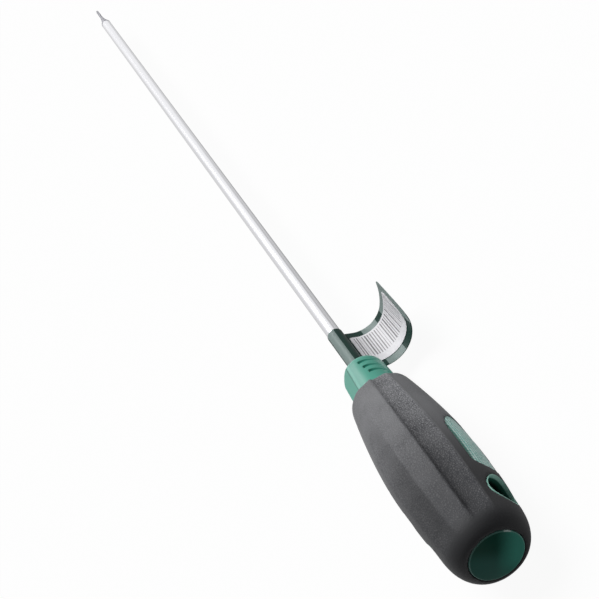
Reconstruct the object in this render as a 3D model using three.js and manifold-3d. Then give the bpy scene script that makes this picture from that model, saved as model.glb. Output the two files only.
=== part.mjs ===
// A long-bladed screwdriver for six-lobe screws: a steel blade, a hard handle with a soft fluted grip over
// it, a pressed-in end cap, and a film flag label wrapped round the blade in front of the collar.
// Millimetres. +X runs along the blade to the tip, +Z is up and the hang hole runs along Y.
// The origin is the middle of the end cap's flat face.
// Angles round the handle are in degrees from +Z towards -Y, so the hang hole lies at 90 and 270.
import * as THREE from "three";
import { mergeVertices } from "three/addons/utils/BufferGeometryUtils.js";
import Module from "manifold-3d";

const wasm = await Module();
wasm.setup();

// Overall lengths
const HANDLE_LENGTH = 96.2;
const BLADE_REACH = 400;
const SEAT_GAP = 0.15;

// Blade, with coined wings inside the handle that keep it from turning
const BLADE_DIAMETER = 5;
const BLADE_ROOT_X = 31.2;
const WING_SPAN = 8.4;
const WING_THICKNESS = 1.6;
const WING_LENGTH = 8;
const WING_START_X = 37.2;
const WING_PITCH = 14;
const WING_COUNT = 2;

// Six-lobe tip, with a round neck and a hollow taper behind it
const TIP_ACROSS_POINTS = 1.42;
const TIP_ACROSS_VALLEYS = 1.01;
const TIP_LOBE_LENGTH = 4.5;
const NECK_LENGTH = 5.5;
const TAPER_LENGTH = 13.5;
const TAPER_POWER = 1.8;
const TIP_LOBES = 6;
const LOBES_INTO_NECK = 1.6;

// Soft grip
const GRIP_LENGTH = 79.2;
const BELLY_X = 37.2;
const BELLY_RADIUS = 14.4;
const GRIP_REAR_RADIUS = 11.96;
const GRIP_FRONT_RADIUS = 10.35;
const SWELL_POWER = 1.75;
const REAR_ROUNDING_LENGTH = 7.5;
const REAR_ROUNDING_DEPTH = 3.6;
const FRONT_ROUNDING_LENGTH = 2;
const FRONT_ROUNDING_DEPTH = 1.6;
const GRIP_REAR_SET_BACK = 0.4;
const GRIP_WALL = 2.6;

// Flat lands on the grip's top and underside, each between a long flute and a short one
const LAND_START_ANGLE = -7;
const LAND_ANGLE = 27;
const LONG_FLUTE_ANGLE = 31;
const SHORT_FLUTE_ANGLE = 38;
const FLUTE_DEPTH = 1.1;
const FLUTE_FRONT_DEPTH = 0.6;
const FLUTE_WALL_POWER = 0.5;
const FLUTE_RISE_POWER = 1.4;
const SHORT_FLUTE_DEPTH = 0.6;
const FLUTE_REAR_X = 5;
const SHORT_FLUTE_FRONT_X = 59.2;
const FLUTE_RUN_OUT = 5;
const FLUTE_STEPS = 6;
const SIDE_STEPS = 7;

// Windows in the grip, where pads of the hard handle show; both ends are half ellipses
const WINDOW_REAR_X = 23.1;
const WINDOW_FRONT_X = 49.5;
const WINDOW_WIDTH = 11;
const WINDOW_REAR_ROUNDING = 4;
const WINDOW_FRONT_ROUNDING = 9;
const WINDOW_RECESS = 0.3;

// Hang hole, lined by the hard handle
const HOLE_X = 14.3;
const HOLE_DIAMETER = 10.2;
const HOLE_RIM_WIDTH = 0.6;
const HOLE_FLARE = 0.4;
const HOLE_FLARE_DEPTH = 1.2;
const RIM_RECESS = 0.15;

// Collar of the hard handle, with finger grooves and two thumb flats
const COLLAR_REAR_RADIUS = 8.2;
const COLLAR_FRONT_RADIUS = 7.4;
const COLLAR_NOSE_ROUNDING = 3.5;
const GROOVE_COUNT = 3;
const GROOVE_FRONT_X = 91.2;
const GROOVE_PITCH = 3.2;
const GROOVE_WIDTH = 1.2;
const GROOVE_DEPTH = 0.8;
const GROOVE_CENTRE_ANGLE = 62;
const GROOVE_HALF_ANGLE = 43;
const FLAT_CENTRE_ANGLE = -48;
const FLAT_DISTANCE = 6.9;

// First-shot core, moulded on the blade's wings
const CORE_REAR_X = 27.2;
const CORE_FRONT_X = 69.2;
const CORE_RADIUS = 6;
const CORE_RIB_HEIGHT = 0.6;
const CORE_RIBS = 6;

// End cap
const CAP_DIAMETER = 16.6;
const CAP_THICKNESS = 1.9;
const CAP_EDGE_ROUNDING = 0.5;
const CAP_STEM_DIAMETER = 6;
const CAP_STEM_LENGTH = 3;
const CAP_STEM_LEAD = 0.4;

// Flag label: a loop of film round the blade and a tail that curls up, with a paper sticker on it.
// The tail curls tighter at its front edge than at its rear edge, and is shorter there.
const LABEL_WIDTH = 23;
const LABEL_SET_OFF = 0.5;
const FILM_THICKNESS = 0.3;
const FILM_CLEARANCE = 0.1;
const TAIL_START_HEADING = -52;
const TAIL_STRAIGHT = 3.2;
const TAIL_REAR_BEND_RADIUS = 11;
const TAIL_REAR_BEND_HEADING = 60;
const TAIL_REAR_END_RADIUS = 40;
const TAIL_REAR_END_HEADING = 74;
const TAIL_FRONT_BEND_RADIUS = 9.5;
const TAIL_FRONT_BEND_HEADING = 40;
const TAIL_FRONT_END_RADIUS = 22;
const TAIL_FRONT_END_HEADING = 66;
const STICKER_THICKNESS = 0.15;
const STICKER_GAP = 0.05;
const STICKER_BORDER = 3.2;
const STICKER_START = 1;

// Facets
const ROUND_SEGMENTS = 36;
const BODY_SEGMENTS = 42;
const ARC_SEGMENTS = 8;
const STATION_STEP = 5;
const LEAST_STATION_STEP = 0.01;
const CORNER_STEPS = 4;
const TAIL_BEND_STEPS = 16;
const TAIL_END_STEPS = 6;
const TAPER_STEPS = 6;
const MERGE_DISTANCE = 1e-4;

// How far a cutting solid reaches past what it cuts
const cutterReach = BELLY_RADIUS / 2;

const { degToRad: radians, lerp, smoothstep } = THREE.MathUtils;

// Solids

// Makes a solid of a closed geometry, turned the right way out.
function solidOf(geometry) {
  const bare = new THREE.BufferGeometry();
  bare.setAttribute("position", geometry.getAttribute("position"));
  if (geometry.index) bare.setIndex(geometry.index);
  const merged = mergeVertices(bare, MERGE_DISTANCE);
  const make = (triVerts) =>
    new wasm.Manifold(
      new wasm.Mesh({
        numProp: 3,
        vertProperties: new Float32Array(merged.getAttribute("position").array),
        triVerts,
      }),
    );
  const triangles = new Uint32Array(merged.index.array);
  const solid = make(triangles);
  if (solid.volume() > 0) return solid;
  return make(triangles.slice().reverse());
}

function geometryOf(solid) {
  const mesh = solid.getMesh();
  const geometry = new THREE.BufferGeometry();
  geometry.setAttribute("position", new THREE.BufferAttribute(mesh.vertProperties, 3));
  geometry.setIndex(new THREE.BufferAttribute(mesh.triVerts, 1));
  geometry.computeVertexNormals();
  return geometry;
}

// Turns an outline of [x, radius] points round the X axis.
function revolved(outline, segments = ROUND_SEGMENTS) {
  const points = outline.map(([x, radius]) => new THREE.Vector2(radius, x));
  return solidOf(new THREE.LatheGeometry(points, segments).rotateZ(-Math.PI / 2));
}

// Extrudes a shape drawn in the Y, Z plane along X.
function alongX(shape, startX, length) {
  const geometry = new THREE.ExtrudeGeometry(shape, { depth: length, bevelEnabled: false });
  const turn = new THREE.Matrix4().makeBasis(
    new THREE.Vector3(0, 1, 0),
    new THREE.Vector3(0, 0, 1),
    new THREE.Vector3(1, 0, 0),
  );
  return solidOf(geometry.applyMatrix4(turn).translate(startX, 0, 0));
}

// Extrudes a shape drawn in the X, Z plane along Y, the same way to both sides.
function acrossY(shape, halfLength) {
  const geometry = new THREE.ExtrudeGeometry(shape, {
    depth: 2 * halfLength,
    bevelEnabled: false,
    curveSegments: ARC_SEGMENTS,
  });
  const turn = new THREE.Matrix4().makeBasis(
    new THREE.Vector3(1, 0, 0),
    new THREE.Vector3(0, 0, 1),
    new THREE.Vector3(0, -1, 0),
  );
  return solidOf(geometry.applyMatrix4(turn).translate(0, halfLength, 0));
}

// A direction round the handle, as a point of the Y, Z plane.
function around(angle, radius) {
  return [-radius * Math.sin(radians(angle)), radius * Math.cos(radians(angle))];
}

// The points of a quarter turn that starts along X and ends along the radius.
function quarter(centreX, centreRadius, rounding, startAngle, endAngle) {
  return Array.from({ length: CORNER_STEPS + 1 }, (_, i) => {
    const angle = radians(startAngle + ((endAngle - startAngle) * i) / CORNER_STEPS);
    return [centreX + rounding * Math.cos(angle), centreRadius + rounding * Math.sin(angle)];
  });
}

// The handle's outer form

// The radius of the grip's lands, before its two ends are rounded.
function swellRadius(x) {
  if (x < BELLY_X) {
    const rearward = (BELLY_X - x) / BELLY_X;
    return BELLY_RADIUS - (BELLY_RADIUS - GRIP_REAR_RADIUS) * rearward ** SWELL_POWER;
  }
  const forward = (x - BELLY_X) / (GRIP_LENGTH - BELLY_X);
  return BELLY_RADIUS - (BELLY_RADIUS - GRIP_FRONT_RADIUS) * forward ** SWELL_POWER;
}

// How much an end with an elliptical rounding takes off the radius, at a distance from that end.
function roundedOff(distance, length, depth) {
  if (distance >= length) return 0;
  return depth * (1 - Math.sqrt(1 - (1 - distance / length) ** 2));
}

function landRadius(x) {
  const rear = roundedOff(x - GRIP_REAR_SET_BACK, REAR_ROUNDING_LENGTH, REAR_ROUNDING_DEPTH);
  const front = roundedOff(GRIP_LENGTH - x, FRONT_ROUNDING_LENGTH, FRONT_ROUNDING_DEPTH);
  return swellRadius(x) - rear - front;
}

// How far the form has gone from its round rear end to its flutes and flat lands.
function fluted(x) {
  return smoothstep(x, FLUTE_REAR_X, FLUTE_REAR_X + FLUTE_RUN_OUT);
}

// How deep a long flute is at a station: it gets shallower to the front.
function longDepth(x) {
  return lerp(FLUTE_DEPTH, FLUTE_FRONT_DEPTH, smoothstep(x, BELLY_X, GRIP_LENGTH)) * fluted(x);
}

// How deep a short flute is at a station: it runs out towards the front.
function shortDepth(x) {
  const gone = smoothstep(x, SHORT_FLUTE_FRONT_X - FLUTE_RUN_OUT, SHORT_FLUTE_FRONT_X);
  return SHORT_FLUTE_DEPTH * (1 - gone) * fluted(x);
}

// A long flute's hollow across its width: a steep wall beside the land, then a gentle rise to the round side.
function longHollow(share) {
  const hollow = (place) => place ** FLUTE_WALL_POWER * (1 - place) ** FLUTE_RISE_POWER;
  return hollow(share) / hollow(FLUTE_WALL_POWER / (FLUTE_WALL_POWER + FLUTE_RISE_POWER));
}

// A short flute's hollow across its width, soft on both sides.
function shortHollow(share) {
  return Math.sin(Math.PI * share) ** 2;
}

// One ring of the grip's form: on each half a flat land, a long flute, a round side and a short flute.
function gripRing(x, inset) {
  const radius = landRadius(x) - inset;
  const flat = radius * (1 - Math.cos(radians(LAND_ANGLE / 2))) * fluted(x);
  const ring = [];
  const place = (angle, hollow) => ring.push([x, ...around(angle, radius - hollow)]);
  for (const half of [0, 180]) {
    const landEnd = half + LAND_START_ANGLE + LAND_ANGLE;
    const sideStart = landEnd + LONG_FLUTE_ANGLE;
    const shortStart = half + 180 + LAND_START_ANGLE - SHORT_FLUTE_ANGLE;
    place(landEnd - LAND_ANGLE / 2, flat);
    for (let step = 0; step <= FLUTE_STEPS; step++) {
      const share = (step / FLUTE_STEPS) ** 2;
      place(landEnd + share * LONG_FLUTE_ANGLE, longDepth(x) * longHollow(share));
    }
    for (let step = 1; step < SIDE_STEPS; step++) place(lerp(sideStart, shortStart, step / SIDE_STEPS), 0);
    for (let step = 0; step <= FLUTE_STEPS; step++) {
      const share = step / FLUTE_STEPS;
      place(shortStart + share * SHORT_FLUTE_ANGLE, shortDepth(x) * shortHollow(share));
    }
  }
  return ring;
}

// The stations along the grip: close together at its rounded ends and at the flutes' run-outs.
function gripStations() {
  const first = GRIP_REAR_SET_BACK + REAR_ROUNDING_LENGTH;
  const last = GRIP_LENGTH - FRONT_ROUNDING_LENGTH;
  const places = quarter(first, 0, REAR_ROUNDING_LENGTH, 180, 90).map(([x]) => x);
  places.push(...quarter(last, 0, FRONT_ROUNDING_LENGTH, 90, 0).map(([x]) => x));
  const steps = Math.ceil((last - first) / STATION_STEP);
  for (let i = 1; i < steps; i++) places.push(first + ((last - first) * i) / steps);
  places.push(FLUTE_REAR_X, FLUTE_REAR_X + FLUTE_RUN_OUT);
  places.push(SHORT_FLUTE_FRONT_X - FLUTE_RUN_OUT, SHORT_FLUTE_FRONT_X);
  const sorted = places.sort((a, b) => a - b);
  return sorted.filter((x, i) => i === 0 || x - sorted[i - 1] > LEAST_STATION_STEP);
}

// The grip's outer form as a full solid, set in by an even amount.
function gripForm(inset) {
  const rings = gripStations().map((x) => gripRing(x, inset));
  const count = rings[0].length;
  const last = rings.length - 1;
  const positions = rings.flat(2);
  positions.push(rings[0][0][0], 0, 0, rings[last][0][0], 0, 0);
  const rearMiddle = rings.length * count;
  const frontMiddle = rearMiddle + 1;
  const triangles = [];
  for (let i = 0; i < count; i++) {
    const next = (i + 1) % count;
    for (let ring = 0; ring < last; ring++) {
      const a = ring * count + i;
      const b = ring * count + next;
      triangles.push(a, b, a + count, b, b + count, a + count);
    }
    triangles.push(rearMiddle, next, i);
    triangles.push(frontMiddle, last * count + i, last * count + next);
  }
  const geometry = new THREE.BufferGeometry();
  geometry.setAttribute("position", new THREE.Float32BufferAttribute(positions, 3));
  geometry.setIndex(triangles);
  return solidOf(geometry);
}

// A window's outline, blunt at the rear and more pointed at the front.
function windowOutline(grow) {
  const side = WINDOW_WIDTH / 2 + grow;
  const rearX = WINDOW_REAR_X + WINDOW_REAR_ROUNDING;
  const frontX = WINDOW_FRONT_X - WINDOW_FRONT_ROUNDING;
  const quarterTurn = Math.PI / 2;
  const shape = new THREE.Shape();
  shape.absellipse(frontX, 0, WINDOW_FRONT_ROUNDING + grow, side, -quarterTurn, quarterTurn, false);
  shape.absellipse(rearX, 0, WINDOW_REAR_ROUNDING + grow, side, quarterTurn, 3 * quarterTurn, false);
  return shape;
}

// The outline of the hang hole's rim.
function rimOutline(grow) {
  const shape = new THREE.Shape();
  shape.absarc(HOLE_X, 0, HOLE_DIAMETER / 2 + HOLE_RIM_WIDTH + grow, 0, 2 * Math.PI, false);
  return shape;
}

// Pieces

function makeBlade() {
  const tipX = HANDLE_LENGTH + BLADE_REACH;
  const lobeX = tipX - TIP_LOBE_LENGTH;
  const neckX = lobeX - NECK_LENGTH;
  const neck = TIP_ACROSS_POINTS / 2;
  const rod = BLADE_DIAMETER / 2;
  const taper = Array.from({ length: TAPER_STEPS + 1 }, (_, i) => {
    const left = 1 - i / TAPER_STEPS;
    return [neckX - TAPER_LENGTH * left, lerp(neck, rod, left ** TAPER_POWER)];
  });
  let blade = revolved([
    [BLADE_ROOT_X, 0],
    [BLADE_ROOT_X, rod],
    ...taper,
    [lobeX, neck],
    [lobeX, 0],
  ]);
  const middle = (TIP_ACROSS_POINTS + TIP_ACROSS_VALLEYS) / 4;
  const swing = (TIP_ACROSS_POINTS - TIP_ACROSS_VALLEYS) / 4;
  const outline = Array.from({ length: ROUND_SEGMENTS }, (_, i) => {
    const angle = (2 * Math.PI * i) / ROUND_SEGMENTS;
    const radius = middle + swing * Math.cos(TIP_LOBES * angle);
    return new THREE.Vector2(radius * Math.cos(angle), radius * Math.sin(angle));
  });
  const lobesLength = TIP_LOBE_LENGTH + LOBES_INTO_NECK;
  blade = blade.add(alongX(new THREE.Shape(outline), tipX - lobesLength, lobesLength));
  for (const wing of makeWings(0)) blade = blade.add(wing);
  return blade;
}

// The blade's wings, or the room that they need.
function makeWings(grow) {
  return Array.from({ length: WING_COUNT }, (_, i) => {
    const [length, thickness, span] = [WING_LENGTH, WING_THICKNESS, WING_SPAN].map((size) => size + 2 * grow);
    const box = new THREE.BoxGeometry(length, thickness, span);
    return solidOf(box.translate(WING_START_X + i * WING_PITCH + WING_LENGTH / 2, 0, 0));
  });
}

// The room that the blade needs, from behind its root to past a given place.
function bladeRoom(endX) {
  const radius = BLADE_DIAMETER / 2 + SEAT_GAP;
  let room = revolved([
    [BLADE_ROOT_X - SEAT_GAP, 0],
    [BLADE_ROOT_X - SEAT_GAP, radius],
    [endX, radius],
    [endX, 0],
  ]);
  for (const wing of makeWings(SEAT_GAP)) room = room.add(wing);
  return room;
}

function coreForm(grow) {
  const outline = Array.from({ length: ROUND_SEGMENTS }, (_, i) => {
    const angle = (2 * Math.PI * i) / ROUND_SEGMENTS;
    const radius = CORE_RADIUS + grow + CORE_RIB_HEIGHT * Math.cos(CORE_RIBS * angle);
    return new THREE.Vector2(radius * Math.cos(angle), radius * Math.sin(angle));
  });
  return alongX(new THREE.Shape(outline), CORE_REAR_X - grow, CORE_FRONT_X - CORE_REAR_X + 2 * grow);
}

function makeInnerCore() {
  return coreForm(0).subtract(bladeRoom(CORE_FRONT_X + cutterReach));
}

function capOutline(grow) {
  const radius = CAP_DIAMETER / 2 + grow;
  const stem = CAP_STEM_DIAMETER / 2 + grow;
  const stemX = CAP_THICKNESS + CAP_STEM_LENGTH + grow;
  const edge = quarter(CAP_EDGE_ROUNDING, radius - CAP_EDGE_ROUNDING, CAP_EDGE_ROUNDING, 180, 90);
  return [
    [0, 0],
    ...edge,
    [CAP_THICKNESS + grow, radius],
    [CAP_THICKNESS + grow, stem],
    [stemX - CAP_STEM_LEAD, stem],
    [stemX, stem - CAP_STEM_LEAD],
    [stemX, 0],
  ];
}

// The hard handle's round form under the grip, from behind the end cap to the front of the collar.
function handleRound(grow) {
  const rearX = CAP_THICKNESS + SEAT_GAP;
  const steps = Math.ceil((GRIP_LENGTH - rearX) / STATION_STEP);
  const outline = [[rearX - grow, 0]];
  for (let i = 0; i <= steps; i++) {
    const x = rearX + ((GRIP_LENGTH - rearX) * i) / steps;
    const radius = Math.max(swellRadius(x) - GRIP_WALL, COLLAR_REAR_RADIUS);
    outline.push([i === 0 ? x - grow : x, radius + grow]);
  }
  outline.push([GRIP_LENGTH, COLLAR_REAR_RADIUS + grow]);
  const noseX = HANDLE_LENGTH - COLLAR_NOSE_ROUNDING;
  const noseRadius = COLLAR_FRONT_RADIUS - COLLAR_NOSE_ROUNDING;
  outline.push(...quarter(noseX, noseRadius + grow, COLLAR_NOSE_ROUNDING, 90, 0));
  outline.push([HANDLE_LENGTH, 0]);
  const isNew = (point, i) => i === 0 || point.some((value, axis) => value !== outline[i - 1][axis]);
  return revolved(outline.filter(isNew), BODY_SEGMENTS);
}

// The hang hole's bore with a flare at both ends, turned round the Y axis.
function holeCut() {
  const bore = HOLE_DIAMETER / 2;
  const flareEnd = landRadius(HOLE_X);
  const side = [
    new THREE.Vector2(bore, flareEnd - HOLE_FLARE_DEPTH),
    new THREE.Vector2(bore + HOLE_FLARE, flareEnd),
    new THREE.Vector2(bore + HOLE_FLARE, flareEnd + cutterReach),
    new THREE.Vector2(0, flareEnd + cutterReach),
  ];
  const otherSide = side.map((point) => new THREE.Vector2(point.x, -point.y)).reverse();
  const geometry = new THREE.LatheGeometry([...otherSide, ...side], ROUND_SEGMENTS);
  return solidOf(geometry.translate(HOLE_X, 0, 0));
}

// Finger grooves part of the way round the collar, on two opposite sides.
function grooveCuts() {
  const outside = COLLAR_REAR_RADIUS + cutterReach;
  const cuts = [];
  for (let i = 0; i < GROOVE_COUNT; i++) {
    const x = GROOVE_FRONT_X - i * GROOVE_PITCH;
    const share = (x - GRIP_LENGTH) / (HANDLE_LENGTH - COLLAR_NOSE_ROUNDING - GRIP_LENGTH);
    const half = GROOVE_WIDTH / 2;
    const inside = lerp(COLLAR_REAR_RADIUS, COLLAR_FRONT_RADIUS, share) - GROOVE_DEPTH;
    const outline = [
      [x - half, outside],
      [x - half, inside + half],
      [x, inside],
      [x + half, inside + half],
      [x + half, outside],
      [x - half, outside],
    ];
    const ring = revolved(outline, BODY_SEGMENTS);
    for (const side of [0, 180]) {
      const sector = new THREE.Shape([
        new THREE.Vector2(0, 0),
        new THREE.Vector2(...around(GROOVE_CENTRE_ANGLE - GROOVE_HALF_ANGLE + side, 2 * outside)),
        new THREE.Vector2(...around(GROOVE_CENTRE_ANGLE + side, 2 * outside)),
        new THREE.Vector2(...around(GROOVE_CENTRE_ANGLE + GROOVE_HALF_ANGLE + side, 2 * outside)),
      ]);
      cuts.push(ring.intersect(alongX(sector, x - GROOVE_WIDTH, 2 * GROOVE_WIDTH)));
    }
  }
  return cuts;
}

// Thumb flats on the collar, between the grooved sides.
function flatCuts() {
  const depth = COLLAR_REAR_RADIUS;
  const length = HANDLE_LENGTH - GRIP_LENGTH;
  return [0, 180].map((side) => {
    const box = new THREE.BoxGeometry(length + cutterReach, 2 * depth, depth);
    box.translate(GRIP_LENGTH + SEAT_GAP + (length + cutterReach) / 2, 0, FLAT_DISTANCE + depth / 2);
    return solidOf(box.rotateX(radians(FLAT_CENTRE_ANGLE + side)));
  });
}

function makeHandleBody() {
  const span = BELLY_RADIUS + cutterReach;
  const pads = gripForm(WINDOW_RECESS).intersect(acrossY(windowOutline(0), span));
  const rim = gripForm(RIM_RECESS).intersect(acrossY(rimOutline(0), span));
  let body = handleRound(0).add(pads).add(rim);
  for (const cut of [...grooveCuts(), ...flatCuts()]) body = body.subtract(cut);
  return body
    .subtract(holeCut())
    .subtract(coreForm(SEAT_GAP))
    .subtract(bladeRoom(HANDLE_LENGTH + cutterReach))
    .subtract(revolved(capOutline(SEAT_GAP)));
}

function makeSoftGrip() {
  const span = BELLY_RADIUS + cutterReach;
  return gripForm(0)
    .subtract(handleRound(SEAT_GAP))
    .subtract(acrossY(windowOutline(SEAT_GAP), span))
    .subtract(acrossY(rimOutline(SEAT_GAP), span))
    .subtract(revolved(capOutline(SEAT_GAP)));
}

function makeEndCap() {
  return revolved(capOutline(0));
}

// The middle line of one edge of the label's tail in the Y, Z plane, from the loop outwards.
function tailEdge(bendRadius, bendHeading, endRadius, endHeading) {
  const loopMiddle = BLADE_DIAMETER / 2 + FILM_CLEARANCE + FILM_THICKNESS / 2;
  const points = [];
  const place = { y: 0, z: 0 };
  let travelled = 0;
  const note = (heading) => points.push({ ...place, heading: radians(heading), travelled });
  const advance = (length, heading) => {
    place.y -= length * Math.cos(radians(heading));
    place.z += length * Math.sin(radians(heading));
    travelled += length;
  };
  advance(loopMiddle, TAIL_START_HEADING);
  travelled = 0;
  note(TAIL_START_HEADING);
  advance(STICKER_START, TAIL_START_HEADING);
  note(TAIL_START_HEADING);
  advance(TAIL_STRAIGHT - STICKER_START, TAIL_START_HEADING);
  note(TAIL_START_HEADING);
  const bends = [
    [bendRadius, TAIL_START_HEADING, bendHeading, TAIL_BEND_STEPS],
    [endRadius, bendHeading, endHeading, TAIL_END_STEPS],
  ];
  for (const [radius, from, to, steps] of bends) {
    const turn = (to - from) / steps;
    for (let i = 0; i < steps; i++) {
      advance(2 * radius * Math.sin(radians(turn / 2)), from + (i + 0.5) * turn);
      note(from + (i + 1) * turn);
    }
  }
  return points;
}

// The tail's middle line at a share of the way from its rear edge to its front edge.
function tailLine(share) {
  const rear = tailEdge(
    TAIL_REAR_BEND_RADIUS,
    TAIL_REAR_BEND_HEADING,
    TAIL_REAR_END_RADIUS,
    TAIL_REAR_END_HEADING,
  );
  const front = tailEdge(
    TAIL_FRONT_BEND_RADIUS,
    TAIL_FRONT_BEND_HEADING,
    TAIL_FRONT_END_RADIUS,
    TAIL_FRONT_END_HEADING,
  );
  const between = (i, key) => lerp(rear[i][key], front[i][key], share);
  return rear.map((_, i) => ({
    y: between(i, "y"),
    z: between(i, "z"),
    heading: between(i, "heading"),
    travelled: between(i, "travelled"),
  }));
}

// A strip of the tail on the given lines, between two distances on its hollow side.
function tailStrip(shares, isCovered, low, high) {
  const startX = HANDLE_LENGTH + LABEL_SET_OFF;
  const lines = shares.map((share) => tailLine(share).filter(isCovered));
  const columns = lines.length;
  const rows = lines[0].length;
  const positions = [];
  for (const distance of [low, high]) {
    for (let row = 0; row < rows; row++) {
      lines.forEach((line, column) => {
        const { y, z, heading } = line[row];
        const x = startX + shares[column] * LABEL_WIDTH;
        positions.push(x, y + distance * Math.sin(heading), z + distance * Math.cos(heading));
      });
    }
  }
  const sheet = rows * columns;
  const triangles = [];
  for (let row = 0; row + 1 < rows; row++) {
    for (let column = 0; column + 1 < columns; column++) {
      const a = row * columns + column;
      const b = a + columns;
      triangles.push(a, a + 1, b, a + 1, b + 1, b);
      triangles.push(sheet + a, sheet + b, sheet + a + 1, sheet + a + 1, sheet + b, sheet + b + 1);
    }
  }
  const wall = (a, b) => triangles.push(b, a, sheet + a, b, sheet + a, sheet + b);
  for (let column = 0; column + 1 < columns; column++) {
    const end = (rows - 1) * columns + column;
    wall(column, column + 1);
    wall(end + 1, end);
  }
  for (let row = 0; row + 1 < rows; row++) {
    const a = row * columns;
    wall(a + columns, a);
    wall(a + columns - 1, a + 2 * columns - 1);
  }
  const geometry = new THREE.BufferGeometry();
  geometry.setAttribute("position", new THREE.Float32BufferAttribute(positions, 3));
  geometry.setIndex(triangles);
  return solidOf(geometry);
}

// The lines across the tail that the sticker covers.
function stickerShares() {
  const border = STICKER_BORDER / LABEL_WIDTH;
  return [border, 0.5, 1 - border];
}

function makeLabelFilm() {
  const inside = BLADE_DIAMETER / 2 + FILM_CLEARANCE;
  const outside = inside + FILM_THICKNESS;
  const startX = HANDLE_LENGTH + LABEL_SET_OFF;
  const endX = startX + LABEL_WIDTH;
  const loop = revolved([
    [startX, inside],
    [endX, inside],
    [endX, outside],
    [startX, outside],
    [startX, inside],
  ]);
  const half = FILM_THICKNESS / 2;
  return loop.add(tailStrip([0, ...stickerShares(), 1], () => true, -half, half));
}

function makeBarcodeSticker() {
  const middle = tailLine(0.5);
  const end = middle[middle.length - 1].travelled - STICKER_BORDER;
  const isCovered = (_, i) => middle[i].travelled >= STICKER_START && middle[i].travelled <= end;
  const low = FILM_THICKNESS / 2 + STICKER_GAP;
  return tailStrip(stickerShares(), isCovered, low, low + STICKER_THICKNESS);
}

// The assembly

const finishes = {
  chrome: new THREE.MeshStandardMaterial({ color: 0xdfe3e4, roughness: 0.18, metalness: 1 }),
  core: new THREE.MeshStandardMaterial({ color: 0x2b3a38, roughness: 0.6, metalness: 0 }),
  green: new THREE.MeshStandardMaterial({ color: 0x6fae9f, roughness: 0.35, metalness: 0 }),
  grip: new THREE.MeshStandardMaterial({ color: 0x4a4d52, roughness: 0.75, metalness: 0 }),
  cap: new THREE.MeshStandardMaterial({ color: 0x0f3f36, roughness: 0.3, metalness: 0 }),
  film: new THREE.MeshStandardMaterial({ color: 0x31514c, roughness: 0.25, metalness: 0 }),
  paper: new THREE.MeshStandardMaterial({ color: 0xe6e6e8, roughness: 0.8, metalness: 0 }),
};

const screwdriver = new THREE.Group();

function addPiece(parent, name, solid, finish) {
  const mesh = new THREE.Mesh(geometryOf(solid), finish);
  mesh.name = name;
  parent.add(mesh);
}

addPiece(screwdriver, "blade", makeBlade(), finishes.chrome);
addPiece(screwdriver, "inner_core", makeInnerCore(), finishes.core);
addPiece(screwdriver, "handle_body", makeHandleBody(), finishes.green);
addPiece(screwdriver, "soft_grip", makeSoftGrip(), finishes.grip);
addPiece(screwdriver, "end_cap", makeEndCap(), finishes.cap);

const flagLabel = new THREE.Group();
addPiece(flagLabel, "label_film", makeLabelFilm(), finishes.film);
addPiece(flagLabel, "barcode_sticker", makeBarcodeSticker(), finishes.paper);
screwdriver.add(flagLabel);

export default screwdriver;
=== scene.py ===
"""Dresses a long six-lobe screwdriver: chromed blade, fluted grip, hard collar, cap and flag label."""

import math

import bmesh
import bpy
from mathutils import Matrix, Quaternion, Vector


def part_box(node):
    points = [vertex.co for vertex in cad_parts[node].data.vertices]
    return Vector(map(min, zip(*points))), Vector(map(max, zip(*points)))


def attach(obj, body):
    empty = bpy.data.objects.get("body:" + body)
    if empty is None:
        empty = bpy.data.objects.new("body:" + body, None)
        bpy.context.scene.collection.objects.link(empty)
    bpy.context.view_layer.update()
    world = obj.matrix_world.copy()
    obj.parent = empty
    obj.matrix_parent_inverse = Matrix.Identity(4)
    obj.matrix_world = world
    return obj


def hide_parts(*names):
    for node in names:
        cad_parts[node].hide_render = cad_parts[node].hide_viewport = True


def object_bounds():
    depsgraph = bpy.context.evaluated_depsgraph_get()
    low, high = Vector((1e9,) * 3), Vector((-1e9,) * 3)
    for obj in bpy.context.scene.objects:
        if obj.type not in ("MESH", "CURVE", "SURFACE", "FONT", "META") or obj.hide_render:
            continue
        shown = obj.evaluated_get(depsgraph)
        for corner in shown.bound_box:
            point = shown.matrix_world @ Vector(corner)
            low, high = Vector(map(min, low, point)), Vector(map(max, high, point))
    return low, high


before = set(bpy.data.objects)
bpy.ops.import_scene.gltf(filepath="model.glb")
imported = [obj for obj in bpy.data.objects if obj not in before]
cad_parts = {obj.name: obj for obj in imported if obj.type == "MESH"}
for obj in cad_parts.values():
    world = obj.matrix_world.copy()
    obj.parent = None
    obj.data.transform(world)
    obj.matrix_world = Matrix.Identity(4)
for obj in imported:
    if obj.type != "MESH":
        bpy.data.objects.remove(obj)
cad_low, cad_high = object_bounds()

MM = 0.001

# Camera, at the photograph's viewing angle
CAMERA_EYE = Vector((-239.77, -82.75, 259.99)) * MM
CAMERA_TARGET = Vector((150.37, 2.76, 0.0)) * MM
CAMERA_ROLL = math.radians(57.755)
CAMERA_LENS = 80.507
CAMERA_SENSOR = 36.0
CAMERA_NEAR = 0.01

# Light
SUN_STRENGTH = 2.7
SUN_FROM = Vector((0.58, 0.05, 0.81))
SUN_SOFTNESS = math.radians(40.0)
AMBIENT = 0.1
FLOOR_GREY = 0.06
FLOOR_GLOW = 0.94
FLOOR_BOUNCE = 0.5
FLOOR_SIZE = 4.0
FLOOR_MIDDLE_X = 0.2
FLOOR_CUTS = 3
PATH_KINDS = ("Is Camera Ray", "Is Glossy Ray", "Is Transmission Ray")

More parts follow.
